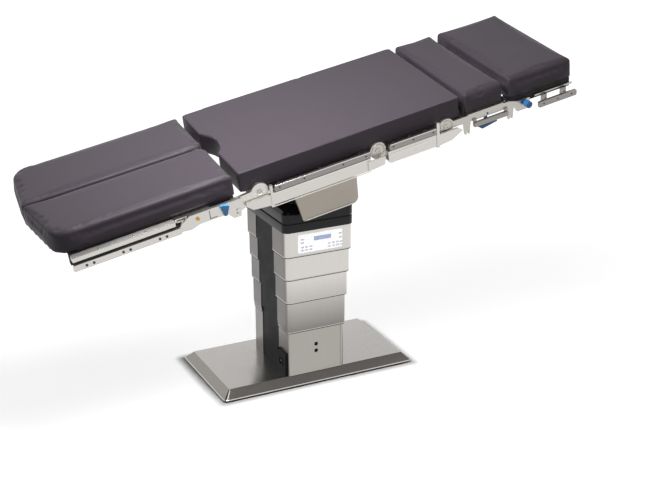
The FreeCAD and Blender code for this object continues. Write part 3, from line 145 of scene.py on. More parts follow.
def gather(name, model, places, finish, body):
    # copies of one modelled shape, joined into one piece that rides on a body
    shape = bmesh.new()
    for place in places:
        start = len(shape.verts)
        faces = len(shape.faces)
        shape.from_mesh(model.data)
        shape.verts.ensure_lookup_table()
        shape.faces.ensure_lookup_table()
        bmesh.ops.transform(shape, matrix=place, verts=shape.verts[start:])
        if place.determinant() < 0:
            bmesh.ops.reverse_faces(shape, faces=shape.faces[faces:])
    mesh = bpy.data.meshes.new(name)
    shape.to_mesh(mesh)
    shape.free()
    obj = bpy.data.objects.new(name, mesh)
    bpy.context.scene.collection.objects.link(obj)
    smoothByAngle(obj)
    setMaterial(obj, finishes[finish])
    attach(obj, body)
    return obj


def discard(obj):
    bpy.data.objects.remove(obj, do_unlink=True)


# Materials. Each is named for what the real surface is.

def fromHex(text):
    channels = [int(text[i:i + 2], 16) / 255 for i in (1, 3, 5)]
    linear = [c / 12.92 if c <= 0.04045 else ((c + 0.055) / 1.055) ** 2.4 for c in channels]
    return (*linear, 1.0)


def addNode(tree, kind, settings=None, links=None):
    node = tree.nodes.new(kind)
    for key, value in (settings or {}).items():
        if key in node.inputs:
            node.inputs[key].default_value = value
        else:
            setattr(node, key, value)
    for key, source in (links or {}).items():
        tree.links.new(source, node.inputs[key])
    return node


def newMaterial(name, colour, metallic, roughness, extra=None):
    material = bpy.data.materials.new(name)
    material.use_nodes = True
    tree = material.node_tree
    shader = tree.nodes["Principled BSDF"]
    shader.inputs["Base Color"].default_value = fromHex(colour)
    shader.inputs["Metallic"].default_value = metallic
    shader.inputs["Roughness"].default_value = roughness
    for key, value in (extra or {}).items():
        shader.inputs[key].default_value = value
    return material, tree, shader


def objectPosition(tree, scale, turn=None):
    place = addNode(tree, "ShaderNodeTexCoord").outputs["Object"]
    settings = {"Scale": scale}
    if turn:
        settings["Rotation"] = turn
    return addNode(tree, "ShaderNodeMapping", settings, {"Vector": place}).outputs["Vector"]


def mixColours(tree, factor, first, second):
    # first and second are hex colours, or outputs of other nodes
    mix = addNode(tree, "ShaderNodeMix", {"data_type": "RGBA"})
    for slot, colour in ((6, first), (7, second)):
        if isinstance(colour, str):
            mix.inputs[slot].default_value = fromHex(colour)
        else:
            tree.links.new(colour, mix.inputs[slot])
    tree.links.new(factor, mix.inputs[0])
    return mix.outputs[2]


def spread(tree, value, low, high):
    return addNode(tree, "ShaderNodeMapRange", {"From Min": low, "From Max": high},
                   {"Value": value}).outputs["Result"]


def glossAndGrain(tree, shader, height, cloud, roughness, change, depth, distance):
    gloss = addNode(tree, "ShaderNodeMapRange",
                    {"From Min": 0.3, "From Max": 0.7, "To Min": roughness - change,
                     "To Max": roughness + change}, {"Value": cloud})
    tree.links.new(gloss.outputs["Result"], shader.inputs["Roughness"])
    bump = addNode(tree, "ShaderNodeBump", {"Strength": depth, "Distance": distance},
                   {"Height": height})
    tree.links.new(bump.outputs["Normal"], shader.inputs["Normal"])


topTilt = tuple(-a for a in topTurn.to_euler())


def brushedMetal(name, dark, light, roughness, grain, turn=None, depth=0.02, sides=(),
                 lower=None):
    # brushed metal: fine lines along one direction, uneven gloss along them; the faces across
    # a given axis get another colour, painted light and shade, and lower paints the metal darker
    # towards the floor, painted shade
    material, tree, shader = newMaterial(name, light, 1.0, roughness)
    lines = addNode(tree, "ShaderNodeTexNoise", {"Scale": 1.0, "Detail": 4.0, "Roughness": 0.6},
                    {"Vector": objectPosition(tree, grain, turn)})
    cloud = addNode(tree, "ShaderNodeTexNoise", {"Scale": 9.0, "Detail": 3.0},
                    {"Vector": objectPosition(tree, (1, 1, 1))})
    colour = mixColours(tree, lines.outputs["Fac"], dark, light)
    # painted shade: a darker colour towards the floor
    if lower:
        height = addNode(tree, "ShaderNodeSeparateXYZ", {},
                         {"Vector": objectPosition(tree, (1, 1, 1))}).outputs["Z"]
        duller = mixColours(tree, lines.outputs["Fac"], lower["dark"], lower["light"])
        colour = mixColours(tree, spread(tree, height, lower["to"], lower["from"]), duller, colour)
    # painted light and shade: faces across an axis get a lighter or darker colour
    for part in sides:
        normal = addNode(tree, "ShaderNodeTexCoord").outputs["Normal"]
        split = addNode(tree, "ShaderNodeSeparateXYZ", {}, {"Vector": normal})
        across = addNode(tree, "ShaderNodeMath", {"operation": "ABSOLUTE"},
                         {0: split.outputs[part["axis"]]})
        factor = spread(tree, across.outputs[0], part["from"], part["to"])
        colour = mixColours(tree, factor, colour, part["colour"])
    tree.links.new(colour, shader.inputs["Base Color"])
    glossAndGrain(tree, shader, lines.outputs["Fac"], cloud.outputs["Fac"], roughness, 0.06,
                  depth, 0.0005)
    return material


def grained(name, dark, light, roughness, scale, depth, metallic=0.0, extra=None):
    # a moulded, coated or rubber surface: fine pebbled bump and slight colour change
    material, tree, shader = newMaterial(name, light, metallic, roughness, extra)
    place = objectPosition(tree, (1, 1, 1))
    grain = addNode(tree, "ShaderNodeTexNoise", {"Scale": scale, "Detail": 3.0}, {"Vector": place})
    cloud = addNode(tree, "ShaderNodeTexNoise", {"Scale": 14.0, "Detail": 2.0}, {"Vector": place})
    colour = mixColours(tree, cloud.outputs["Fac"], dark, light)
    tree.links.new(colour, shader.inputs["Base Color"])
    glossAndGrain(tree, shader, grain.outputs["Fac"], cloud.outputs["Fac"], roughness, 0.045,
                  depth, 0.0004)
    return material


finishes = {
    # brushed lines about 0.5 mm apart, drawn coarser than the real 0.1 mm so that they show
    # the side returns are painted darker and the stages darker towards the floor: painted shade
    "brushedSteelUpright": brushedMetal(
        "brushedStainlessUpright", "#cfcbc6", "#dfdbd7", 0.34, (900, 900, 6),
        sides=[{"axis": "X", "from": 0.75, "to": 0.97, "colour": "#7d7a78"}],
        lower={"from": 0.44, "to": 0.22, "dark": "#7b7874", "light": "#8b8884"}),
    # the side faces are painted darker: painted shade
    "brushedSteelFoot": brushedMetal(
        "brushedStainlessFoot", "#a4a19a", "#b3b0a9", 0.34, (900, 900, 6),
        sides=[{"axis": "X", "from": 0.75, "to": 0.97, "colour": "#908e8c"}]),
    # a lying cover: the flat top is painted lighter, a painted highlight, and the long bevels
    # darker, painted shade
    "brushedSteelBase": brushedMetal(
        "brushedStainlessBase", "#8b8884", "#989591", 0.24, (6, 900, 900),
        sides=[{"axis": "Z", "from": 0.9, "to": 0.99, "colour": "#b0adaa"},
               {"axis": "Y", "from": 0.3, "to": 0.5, "colour": "#5d5a57"}]),
    "rolledEdge": brushedMetal("rolledStainlessEdge", "#b9b5b0", "#cbc7c2", 0.24, (60, 60, 60),
                               depth=0.004),
    "polishedSteel": brushedMetal("polishedStainless", "#d5d2cd", "#e6e3df", 0.16,
                                  (60, 60, 60), depth=0.004),
    "brushedSteelTop": brushedMetal("brushedStainlessTop", "#b3afa9", "#c8c4be", 0.28,
                                    (6, 900, 900), topTilt),
    "hubSteel": brushedMetal("beadBlastedStainless", "#9d968c", "#aaa399", 0.42,
                             (400, 400, 400), topTilt, 0.03),
    "satinAluminium": brushedMetal("satinAnodisedAluminium", "#cdcac5", "#dddad6", 0.3,
                                   (8, 700, 700), topTilt),
    # the side rails are ground, duller than the beams below them
    "railSteel": brushedMetal("groundStainlessRail", "#8d8986", "#9d9996", 0.3,
                              (6, 900, 900), topTilt),
    "darkSteel": brushedMetal("blackenedSteelScrew", "#3d3c3d", "#525152", 0.32, (300, 300, 300)),
    "castIron": grained("paintedCastIron", "#343436", "#444446", 0.5, 900.0, 0.25),
    "blackCoat": grained("blackPowderCoat", "#1d1a1c", "#272426", 0.48, 1400.0, 0.2, 0.0,
                         {"Specular IOR Level": 0.2}),
    "blackPlastic": grained("blackMouldedPlastic", "#19191b", "#222224", 0.46, 1100.0, 0.12,
                            0.0, {"Specular IOR Level": 0.1}),
    "glossyPlastic": grained("glossyBlackPolyurethane", "#1b191a", "#242223", 0.3, 900.0, 0.1,
                             0.0, {"Specular IOR Level": 0.3}),
    "bellowsRubber": grained("mouldedBellowsRubber", "#2f2c2d", "#3a3738", 0.3, 800.0, 0.06,
                             0.0, {"Specular IOR Level": 0.9}),
    "greyCoat": grained("satinGreyCoat", "#8a8884", "#979591", 0.42, 900.0, 0.05, 0.25),
    "lightBluePlastic": grained("lightBlueMouldedPlastic", "#4795d3", "#5aa7e2", 0.28, 900.0,
                                0.05),
    # black rubber for the mat; the same black paints shade on the wipers and the gap strips
    "blackRubber": grained("blackRubber", "#121213", "#19191a", 0.6, 700.0, 0.2,
                           0.0, {"Specular IOR Level": 0.3}),
    # welded polyurethane cover over foam: soft pebbled grain about 1 mm, faint sheen
    "upholstery": grained("weldedPolyurethaneUpholstery", "#383138", "#403941", 0.46, 1300.0,
                          0.18, 0.0, {"Specular IOR Level": 0.2, "Sheen Weight": 0.04}),
    "bluePlastic": grained("blueMouldedPlastic", "#2470ae", "#3585c6", 0.3, 900.0, 0.05),
    "goldAnodised": brushedMetal("goldAnodisedAluminium", "#b88a20", "#d3a63a", 0.25,
                                 (500, 500, 500)),
    # the membrane, its keys and the window glow faintly: painted light that brightens them
    "glowingMembrane": grained("backlitKeypadMembrane", "#f0f1f1", "#fafafa", 0.35, 500.0, 0.03,
                              0.0, {"Emission Color": (1, 1, 1, 1), "Emission Strength": 0.72}),
    "glowingKey": grained("embossedMembraneKey", "#d3d6db", "#e0e2e6", 0.3, 500.0, 0.03, 0.0,
                         {"Emission Color": (0.9, 0.93, 1, 1), "Emission Strength": 0.42}),
    "glowingWindow": grained("tintedDisplayWindow", "#aebbd6", "#bcc7de", 0.12, 300.0, 0.0, 0.0,
                             {"Emission Color": (0.55, 0.68, 1, 1), "Emission Strength": 0.4}),
}

nodeFinishes = {
    "base_cover": "brushedSteelBase", "base_rubber_mat": "blackRubber", "base_core": "castIron",
    "foot_covers": "brushedSteelFoot", "foot_side_panels": "blackPlastic",
    "inlet_housing": "blackPlastic", "keypad": "glowingMembrane",
    "outer_guide_tube": "satinAluminium", "middle_guide_tube": "satinAluminium",
    "inner_guide_tube": "satinAluminium", "lift_spindle": "polishedSteel",
    "lift_motor": "blackPlastic", "column_collar": "glossyPlastic",
    "bearing_casting": "castIron", "tilt_drive": "satinAluminium",
    "tilt_bellows": "bellowsRubber", "tilt_cross": "castIron", "hub_casting": "castIron",
    "hub_covers": "hubSteel", "seat_deck": "blackCoat", "seat_beams": "satinAluminium",
    "seat_rails": "railSteel", "back_deck": "blackCoat", "back_beams": "satinAluminium",
    "back_rails": "railSteel", "back_hinge_discs": "brushedSteelTop",
    "upper_back_frame": "brushedSteelTop", "upper_short_rails": "railSteel",
    "release_bar": "bluePlastic", "head_frame": "blackCoat", "head_rails": "railSteel",
    "head_knob_left": "bluePlastic", "head_knob_right": "bluePlastic",
}
for stage in ("low", "middle", "upper", "top"):
    nodeFinishes[f"{stage}_stage_covers"] = "brushedSteelUpright"
    nodeFinishes[f"{stage}_stage_side_panels"] = "blackPlastic"
for side in ("left", "right"):
    nodeFinishes[f"leg_frame_{side}"] = "blackCoat"
    nodeFinishes[f"leg_rail_{side}"] = "satinAluminium"
    nodeFinishes[f"leg_arm_{side}"] = "satinAluminium"
    nodeFinishes[f"leg_bracket_{side}"] = "satinAluminium"
    nodeFinishes[f"leg_lever_{side}"] = "bluePlastic"
    nodeFinishes[f"leg_button_{side}"] = "goldAnodised"
for name, finish in nodeFinishes.items():
    setMaterial(nodes[name], finishes[finish])
print("materials on the CAD nodes are set")


# Pads: each cover is blown up a little over its foam and stays flat on its deck.

padShape = {
    "voxel": 0.005,
    "held": 0.004,        # height of the rim that stays on the deck
    "quality": 5,
    "mass": 0.3,
    "stretch": 15,
    "bend": 8,
    "pressure": 3.0,
    "frames": 20,
    "swell": 0.004,       # most that a point may move
}


def swellPad(obj, bottom):
    # cloth under slight pressure crowns the top; the underside stays on its deck
    start = [vertex.co.copy() for vertex in obj.data.vertices]
    grip = obj.vertex_groups.new(name="grip")
    held = [v.index for v in obj.data.vertices if v.co.z < bottom + padShape["held"]]
    grip.add(held, 1.0, "REPLACE")
    cloth = obj.modifiers.new("cover", "CLOTH")
    cloth.settings.quality = padShape["quality"]
    cloth.settings.mass = padShape["mass"]
    cloth.settings.tension_stiffness = padShape["stretch"]
    cloth.settings.compression_stiffness = padShape["stretch"]
    cloth.settings.bending_stiffness = padShape["bend"]
    cloth.settings.use_pressure = True
    cloth.settings.uniform_pressure_force = padShape["pressure"]
    cloth.settings.effector_weights.gravity = 0
    cloth.settings.vertex_group_mass = "grip"
    cloth.point_cache.frame_start = 1
    cloth.point_cache.frame_end = padShape["frames"]
    scene = bpy.context.scene
    for number in range(1, padShape["frames"] + 1):
        scene.frame_set(number)
    applyModifiers(obj)
    scene.frame_set(1)
    for vertex, before in zip(obj.data.vertices, start):
        move = vertex.co - before
        if move.length > padShape["swell"]:
            vertex.co = before + move * (padShape["swell"] / move.length)
    obj.vertex_groups.clear()


def makePad(name, sources):
    obj = copyOfNodes(sources, name)
    settle(obj, topMatrix.inverted())
    low = min(v.co.z for v in obj.data.vertices)
    remesh = obj.modifiers.new("remesh", "REMESH")
    remesh.mode = "VOXEL"
    remesh.voxel_size = padShape["voxel"]
    applyModifiers(obj)
    swellPad(obj, low)
    smooth = obj.modifiers.new("smooth", "SUBSURF")
    smooth.levels = 1
    smooth.render_levels = 1
    applyModifiers(obj)
    pick(obj)
    bpy.ops.object.shade_smooth()
    settle(obj, topMatrix)
    setMaterial(obj, finishes["upholstery"])
    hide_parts(*sources)
    return obj


longPad = makePad("long_pad", ["seat_pad", "pad_flex_zone", "back_pad"])
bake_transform(longPad)
for name, source, body in (
    ("upper_back_cushion", "upper_back_pad", "upper_back"),
    ("head_cushion", "head_pad", "head"),
    ("leg_cushion_left", "leg_pad_left", "leg_left"),
    ("leg_cushion_right", "leg_pad_right", "leg_right"),
):
    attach(makePad(name, [source]), body)
print("pads are dressed")


# Column trim: a polished rolled lip at the foot of each stage, and under it a black rubber wiper
# whose black paints the shade line under the step.

stageTrim = {
    "lip": 0.0032,
    "proud": 0.0003,
    "wiper": 0.003,
    "bottoms": {"top": 0.550, "upper": 0.454, "middle": 0.355, "low": 0.226},
    "bodies": {"top": "column_head", "upper": "upper_stage", "middle": "middle_stage",
               "low": "low_stage"},
}


def cutSlice(obj, below):
    pick(obj)
    bpy.ops.object.mode_set(mode="EDIT")
    bpy.ops.mesh.select_all(action="SELECT")
    bpy.ops.mesh.bisect(plane_co=(0, 0, below), plane_no=(0, 0, 1), use_fill=True,
                        clear_outer=True)
    objectMode()


def thicken(obj, amount):
    swell = obj.modifiers.new("swell", "DISPLACE")
    swell.mid_level = 0
    swell.strength = amount
    applyModifiers(obj)


def stagePieces(stage):
    bottom = stageTrim["bottoms"][stage]
    body = stageTrim["bodies"][stage]
    lip = copyOfNodes([f"{stage}_stage_covers"], f"{stage}_stage_lip")
    cutSlice(lip, bottom + stageTrim["lip"])
    thicken(lip, stageTrim["proud"])
    smoothByAngle(lip)
    setMaterial(lip, finishes["rolledEdge"])
    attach(lip, body)
    # the wiper's black strip stands in for the shade line under the step: painted shade
    wiper = copyOfNodes([f"{stage}_stage_covers"], f"{stage}_stage_wiper")
    cutSlice(wiper, bottom + stageTrim["wiper"])
    settle(wiper, Matrix.Translation((0, 0, -stageTrim["wiper"])))
    setMaterial(wiper, finishes["blackRubber"])
    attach(wiper, body)


for stage in stageTrim["bottoms"]:
    stagePieces(stage)

# Softly rounded shells stand for the solids whose edges catch the light.
roundedShells = {
    # node: (edge radius, segments, finish, slot, body)
    "base_cover": (0.0016, 3, "brushedSteelBase", "satin_steel", "base"),
    "column_collar": (0.0035, 3, "glossyPlastic", "black_plastic", "column_head"),
    "tilt_bellows": (0.0022, 3, "bellowsRubber", "rubber", "column_head"),
    "hub_covers": (0.0025, 3, "hubSteel", "satin_steel", "seat"),
    "head_knob_left": (0.006, 4, "bluePlastic", "blue_plastic", "knob_left"),
    "head_knob_right": (0.006, 4, "bluePlastic", "blue_plastic", "knob_right"),
    "leg_lever_left": (0.002, 3, "lightBluePlastic", "blue_plastic", "lever_left"),
    "leg_lever_right": (0.002, 3, "lightBluePlastic", "blue_plastic", "lever_right"),
}


def roundedShell(node, edge, segments, finish, slot, body):
    obj = copyOfNodes([node], f"{node}_shell")
    bevelAll(obj, edge, segments)
    smoothByAngle(obj, 40)
    setMaterial(obj, finishes[finish])
    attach(obj, body)
    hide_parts(node)


for node, settings in roundedShells.items():
    roundedShell(node, *settings)
print("rounded shells are made")

# The base cover has a rolled bead along its lower edge.
baseTrim = {"height": 0.0024, "proud": 0.0004}
bead = copyOfNodes(["base_cover"], "base_edge_bead")
lowEdge = min(v.co.z for v in bead.data.vertices)
cutSlice(bead, lowEdge + baseTrim["height"])
thicken(bead, baseTrim["proud"])
smoothByAngle(bead)
setMaterial(bead, finishes["rolledEdge"])
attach(bead, "base")
print("column and base trim is made")


# Keypad: embossed keys and a small window, all unprinted.

keypadLayout = {
    "front": -0.2205,
    "key": (0.015, 0.0012, 0.0085),
    "corner": 0.0006,
    "keyRim": 0.0016,
    "keyDish": 0.0003,
    "columns": {"left": (-0.078, -0.060, -0.042), "right": (0.036, 0.054, 0.072, 0.088)},
    "rows": (0.574, 0.586),
    "sideKeys": ((-0.079, 0.604), (-0.079, 0.618), (0.084, 0.604), (0.084, 0.620)),
    "window": (-0.030, 0.044, 0.606, 0.624),
    "windowCorner": 0.0005,
    "windowRim": 0.002,
    "windowDish": 0.0004,
}


def roundedBlock(name, low, high, edge, segments=2):
    # a block between two corners with its edges rounded
    deselectAll()
    middle = [(a + b) / 2 for a, b in zip(low, high)]
    bpy.ops.mesh.primitive_cube_add(size=1, location=middle)
    obj = bpy.context.object
    obj.name = name
    obj.scale = [b - a for a, b in zip(low, high)]
    placeInMesh(obj)
    bevelAll(obj, edge, segments)
    return obj


def keypadPieces():
    width, depth, height = keypadLayout["key"]
    key = roundedBlock("key_model", (-width / 2, -depth, -height / 2), (width / 2, 0, height / 2),
                       keypadLayout["corner"])
    selectFaces(key, lambda face: face.normal.y < -0.9 and face.calc_area() > 0.00005)
    bpy.ops.mesh.inset(thickness=keypadLayout["keyRim"])
    bpy.ops.transform.translate(value=(0, keypadLayout["keyDish"], 0))
    objectMode()
    spots = [(x, z) for columns in keypadLayout["columns"].values() for x in columns
             for z in keypadLayout["rows"]] + list(keypadLayout["sideKeys"])
    front = keypadLayout["front"]
    gather("keypad_keys", key, [Matrix.Translation((x, front, z)) for x, z in spots],
           "glowingKey", "column_head")
    discard(key)
    x0, x1, z0, z1 = keypadLayout["window"]
    window = roundedBlock("window_model", (x0, front - 0.001, z0), (x1, front + 0.0002, z1),
                          keypadLayout["windowCorner"])
    selectFaces(window, lambda face: face.normal.y < -0.9 and face.calc_area() > 0.0002)
    bpy.ops.mesh.inset(thickness=keypadLayout["windowRim"])
    bpy.ops.transform.translate(value=(0, keypadLayout["windowDish"], 0))
    objectMode()
    gather("keypad_window", window, [Matrix.Identity(4)], "glowingWindow",
           "column_head")
    discard(window)


keypadPieces()
print("keypad is made")


# Fasteners: one screw, one bolt and one ring are modelled, then set wherever they are needed.

def screwHead(radius, height, recess):
    deselectAll()
    bpy.ops.mesh.primitive_cylinder_add(vertices=20, radius=radius, depth=height,
                                        location=(0, 0, height / 2))
    head = bpy.context.object
    placeInMesh(head)
    selectFaces(head, lambda face: face.normal.z > 0.9)
    bpy.ops.mesh.inset(thickness=radius * 0.2)
    bpy.ops.transform.translate(value=(0, 0, height * 0.3))
    bpy.ops.mesh.inset(thickness=radius * 0.3)
    bpy.ops.mesh.extrude_region_move(TRANSFORM_OT_translate={"value": (0, 0, -recess)})
    objectMode()
    return head


def ringShape(radius, thickness):
    deselectAll()
    bpy.ops.mesh.primitive_torus_add(major_radius=radius, minor_radius=thickness,
                                     major_segments=48, minor_segments=8)
    ring = bpy.context.object
    placeInMesh(ring)
    selectFaces(ring, lambda face: face.calc_center_median().z < -thickness * 0.3)
    bpy.ops.transform.translate(value=(0, 0, -thickness * 0.4))
    objectMode()
    return ring


def facing(x, y, z, side):
    # a place on the table top where the model's z points outwards; side -1 is the left
    return topMatrix @ Matrix.Translation((x, side * y, z)) @ Matrix.Rotation(
        -side * math.radians(90), 4, "X")


def lying(x, y, z, side):
    return topMatrix @ Matrix.Translation((x, side * y, z))


fasteners = {
    # screws: radius, height, depth of the recess; ring: radius, thickness
    "railScrew": (0.0048, 0.0014, 0.0012),
    "smallScrew": (0.0032, 0.0010, 0.0008),
    "hingeBolt": (0.0105, 0.0030, 0.0022),
    "hingeRing": (0.026, 0.0012),
    "railFace": 0.295,
    "discFace": 0.2741,
    "legBarTop": (0.282, -0.0849),
    "railHeights": {"leg": -0.1245, "seat": -0.0885, "back": -0.0885, "head": -0.1345},
    "legRail": [-0.940, -0.914, -0.808, -0.782, -0.673, -0.647],
    "legBar": [-0.965, -0.885, -0.840, -0.760, -0.715, -0.640],
    "seatRail": [-0.205, -0.105, 0.055, 0.150],
    "backRail": [0.268, 0.355, 0.442],
    "headRail": [0.952, 1.019, 1.085],
    "hinges": {"leg": (-0.275, -0.092), "back": (0.213, -0.096), "upper": (0.512, -0.098)},
}


def fastenerPieces():
    screw = screwHead(*fasteners["railScrew"])
    small = screwHead(*fasteners["smallScrew"])
    bolt = screwHead(*fasteners["hingeBolt"])
    ring = ringShape(*fasteners["hingeRing"])
    face = fasteners["railFace"]
    heights = fasteners["railHeights"]
    barY, barZ = fasteners["legBarTop"]
    for side, word in ((-1, "left"), (1, "right")):
        gather(f"leg_rail_screws_{word}", screw,
               [facing(x, face, heights["leg"], side) for x in fasteners["legRail"]],
               "darkSteel", f"leg_{word}")
        gather(f"leg_bar_screws_{word}", small,
               [lying(x, barY, barZ, side) for x in fasteners["legBar"]],
               "polishedSteel", f"leg_{word}")
        gather(f"seat_rail_screws_{word}", small,
               [facing(x, face, heights["seat"], side) for x in fasteners["seatRail"]],
               "darkSteel", "seat")
        gather(f"back_rail_screws_{word}", small,
               [facing(x, face, heights["back"], side) for x in fasteners["backRail"]],
               "darkSteel", "lower_back")
        gather(f"head_rail_screws_{word}", small,
               [facing(x, face, heights["head"], side) for x in fasteners["headRail"]],
               "darkSteel", "head")
        for hinge, body in (("leg", f"leg_{word}"), ("back", "lower_back"),
                            ("upper", "upper_back")):
            x, z = fasteners["hinges"][hinge]
            place = facing(x, fasteners["discFace"], z, side)
            gather(f"{hinge}_hinge_bolt_{word}", bolt, [place], "brushedSteelTop",
                   body)
            if hinge != "leg":
                gather(f"{hinge}_hinge_ring_{word}", ring, [place], "railSteel",
                       body)
    for model in (screw, small, bolt, ring):
        discard(model)


fastenerPieces()
print("fasteners are set")


# Foot: bonding sockets with a ring and a pin, and the inlet's frame and pins.

footFittings = {
    "socketX": -0.009,
    "socketZ": (0.130, 0.159),
    "front": -0.1959,
    "ring": (0.0092, 0.0009),
    "pin": (0.003, 0.009, 0.002),
    "pinSunk": 1.4,       # of its length
    "inletFace": -0.1395,
    "inletY": -0.142,
    "inletZ": 0.088,
    "inletSize": (0.030, 0.037),
    "inletRim": 0.0045,
    "inletWall": 0.0012,
    "inletPins": ((-0.0075, 0.0), (0.0, 0.003), (0.0075, 0.0)),
}


def footPieces():
    ring = ringShape(*footFittings["ring"])
    turn = Matrix.Rotation(math.radians(90), 4, "X")
    spots = [Matrix.Translation((footFittings["socketX"], footFittings["front"], z)) @ turn
             for z in footFittings["socketZ"]]
    gather("bonding_socket_rings", ring, spots, "brushedSteelFoot", "base")
    discard(ring)
    radius, length, recess = footFittings["pin"]
    pin = screwHead(radius, length, recess)
    settle(pin, Matrix.Translation((0, 0, -footFittings["pinSunk"] * length)))
    gather("bonding_socket_pins", pin, spots, "darkSteel", "base")
    discard(pin)
    x, y, z = footFittings["inletFace"], footFittings["inletY"], footFittings["inletZ"]
    deselectAll()
    bpy.ops.mesh.primitive_plane_add(size=1, location=(x - 0.0002, y, z),
                                     rotation=(0, math.radians(-90), 0))
    plate = bpy.context.object
    plate.scale = (*footFittings["inletSize"], 1)
    placeInMesh(plate)
    selectFaces(plate, lambda face: True)
    bpy.ops.mesh.inset(thickness=footFittings["inletRim"])
    bpy.ops.mesh.delete(type="FACE")
    objectMode()
    wall = plate.modifiers.new("wall", "SOLIDIFY")
    wall.thickness = footFittings["inletWall"]
    wall.offset = 1
    applyModifiers(plate)
    bevelAll(plate, 0.0004)
    gather("inlet_frame", plate, [Matrix.Identity(4)], "blackPlastic", "base")
    discard(plate)
    blade = roundedBlock("blade_model", (0, -0.001, -0.002), (0.0065, 0.001, 0.002), 0.0004)
    spots = [Matrix.Translation((x + 0.0008, y + dy, z + dz))
             for dy, dz in footFittings["inletPins"]]
    gather("inlet_pins", blade, spots, "polishedSteel", "base")
    discard(blade)


footPieces()
print("foot fittings are made")


# Side trim along the table top: edge bands on the beams and hub covers, rail edges, and black
# strips and blocks in the gaps between the sections, painted shade for the dark gaps.

sideTrim = {
    "beamBands": [
        ("seat_beam_band", "seat", (-0.229, 0.2875, -0.1655), (0.172, 0.2892, -0.1615)),
        ("seat_beam_upper_band", "seat", (-0.229, 0.2875, -0.1125), (0.172, 0.2886, -0.1085)),
        ("back_beam_band", "lower_back", (0.262, 0.2875, -0.1235), (0.430, 0.2886, -0.1195)),
    ],
    "hubBands": [
        ("hub_cover_hem", "seat", (-0.088, 0.2345, -0.3128), (0.108, 0.2368, -0.3068)),
        ("hub_cover_fold", "seat", (-0.116, 0.2345, -0.1915), (0.133, 0.2358, -0.1890)),
    ],
    "railEdges": [
        ("seat_rail_edge", "seat", (-0.222, 0.2938, -0.0795), (0.169, 0.2956, -0.0762)),
        ("back_rail_edge", "lower_back", (0.255, 0.2938, -0.0795), (0.455, 0.2956, -0.0762)),
    ],
    "shadeStrips": [
        ("seat_beam_seal", "seat", (-0.216, 0.2645, -0.1083), (0.160, 0.2872, -0.1064)),
    ],
    "legBarTops": [
        ("leg_bar_top", "leg_{side}", (-0.983, 0.2640, -0.0861), (-0.607, 0.2879, -0.0848)),
    ],
    "gapShadeBlocks": [
        ("leg_rail_seal", "leg_{side}", (-0.985, 0.2843, -0.1125), (-0.592, 0.2853, -0.1025)),
        ("back_gap_block", "lower_back", (0.516, 0.2150, -0.1050), (0.581, 0.2575, -0.0812)),
        ("upper_gap_block", "upper_back", (0.596, 0.2100, -0.1070), (0.6045, 0.2600, -0.0500)),
        ("head_gap_block", "upper_back", (0.7800, 0.2100, -0.1070), (0.7870, 0.2600, -0.0680)),
        ("head_frame_lip", "head", (0.8110, 0.2150, -0.1060), (0.8200, 0.2600, -0.0812)),
    ],
    "headBars": [
        ("head_side_bar", "head", (0.925, 0.2618, -0.1065), (1.106, 0.2685, -0.0985)),
    ],
    "round": 0.0006,
}


def stripBothSides(name, body, low, high, finish):
    strip = roundedBlock("strip_model", low, high, sideTrim["round"])
    for side, word in ((-1, "left"), (1, "right")):
        mirror = Matrix.Scale(side, 4, (0, 1, 0))
        gather(f"{name}_{word}", strip, [topMatrix @ mirror], finish,
               body.format(side=word))
    discard(strip)


def sidePieces():
    for name, body, low, high in sideTrim["beamBands"]:
        stripBothSides(name, body, low, high, "polishedSteel")
    for name, body, low, high in sideTrim["hubBands"]:
        stripBothSides(name, body, low, high, "rolledEdge")
    for name, body, low, high in sideTrim["railEdges"]:
        stripBothSides(name, body, low, high, "polishedSteel")
    # black strips and blocks in the gaps: painted shade
    for name, body, low, high in sideTrim["shadeStrips"] + sideTrim["gapShadeBlocks"]:
        stripBothSides(name, body, low, high, "blackRubber")
    for name, body, low, high in sideTrim["legBarTops"]:
        stripBothSides(name, body, low, high, "greyCoat")
    for name, body, low, high in sideTrim["headBars"]:
        stripBothSides(name, body, low, high, "brushedSteelTop")


# The release blade has an outer grip, thinner towards its head end.

gripShape = {
    "low": (0.655, 0.2595, -0.1640),
    "high": (0.745, 0.2735, -0.1465),
    "tipRise": 0.012,
    "heelRun": 0.0225,
    "edge": 0.0012,
}


def releaseGrips():
    low, high = gripShape["low"], gripShape["high"]
    deselectAll()
    bpy.ops.mesh.primitive_cube_add(size=1, location=[(a + b) / 2 for a, b in zip(low, high)])
    grip = bpy.context.object
    grip.scale = [b - a for a, b in zip(low, high)]
    placeInMesh(grip)
    middle = (low[0] + high[0]) / 2
    for vertex in grip.data.vertices:
        if vertex.co.z < high[2] - 0.001:
            if vertex.co.x > middle:
                vertex.co.z += gripShape["tipRise"]
            else:
                vertex.co.x += gripShape["heelRun"]
    bevelAll(grip, gripShape["edge"], 3)
    for side, word in ((-1, "left"), (1, "right")):
        mirror = Matrix.Scale(side, 4, (0, 1, 0))
        gather(f"release_grip_{word}", grip, [topMatrix @ mirror], "bluePlastic",
               "release")
    discard(grip)


releaseGrips()
sidePieces()
print("side trim is made")


# Studio: a camera, a white floor with the object's shadow and a painted contact shadow round the
# base, and soft lamps.

camera = {"lens": 67.31, "azimuth": -26.509, "elevation": 20.172, "distance": 4.9543,
          "target": (0.1326, 0.0, 0.4909)}

studio = {
    "worldLight": 0.20,
    "floorNear": 0.72,
    "floorFar": 1.0,
    "floorInGloss": 1.0,
    "nearFar": (1.6, 5.0),    # where the floor's glow starts and stops growing
    "paintedShadowWidth": 0.05,
    "lamps": [
        ("keyLight", (-0.45, -0.55, 2.00), (0.9, 0.9), 36),
        ("fillLight", (4.0, -2.0, 2.5), (2.5, 2.5), 18),
        ("backLight", (-0.6, 3.2, 3.8), (3.0, 2.0), 7),
    ],
}


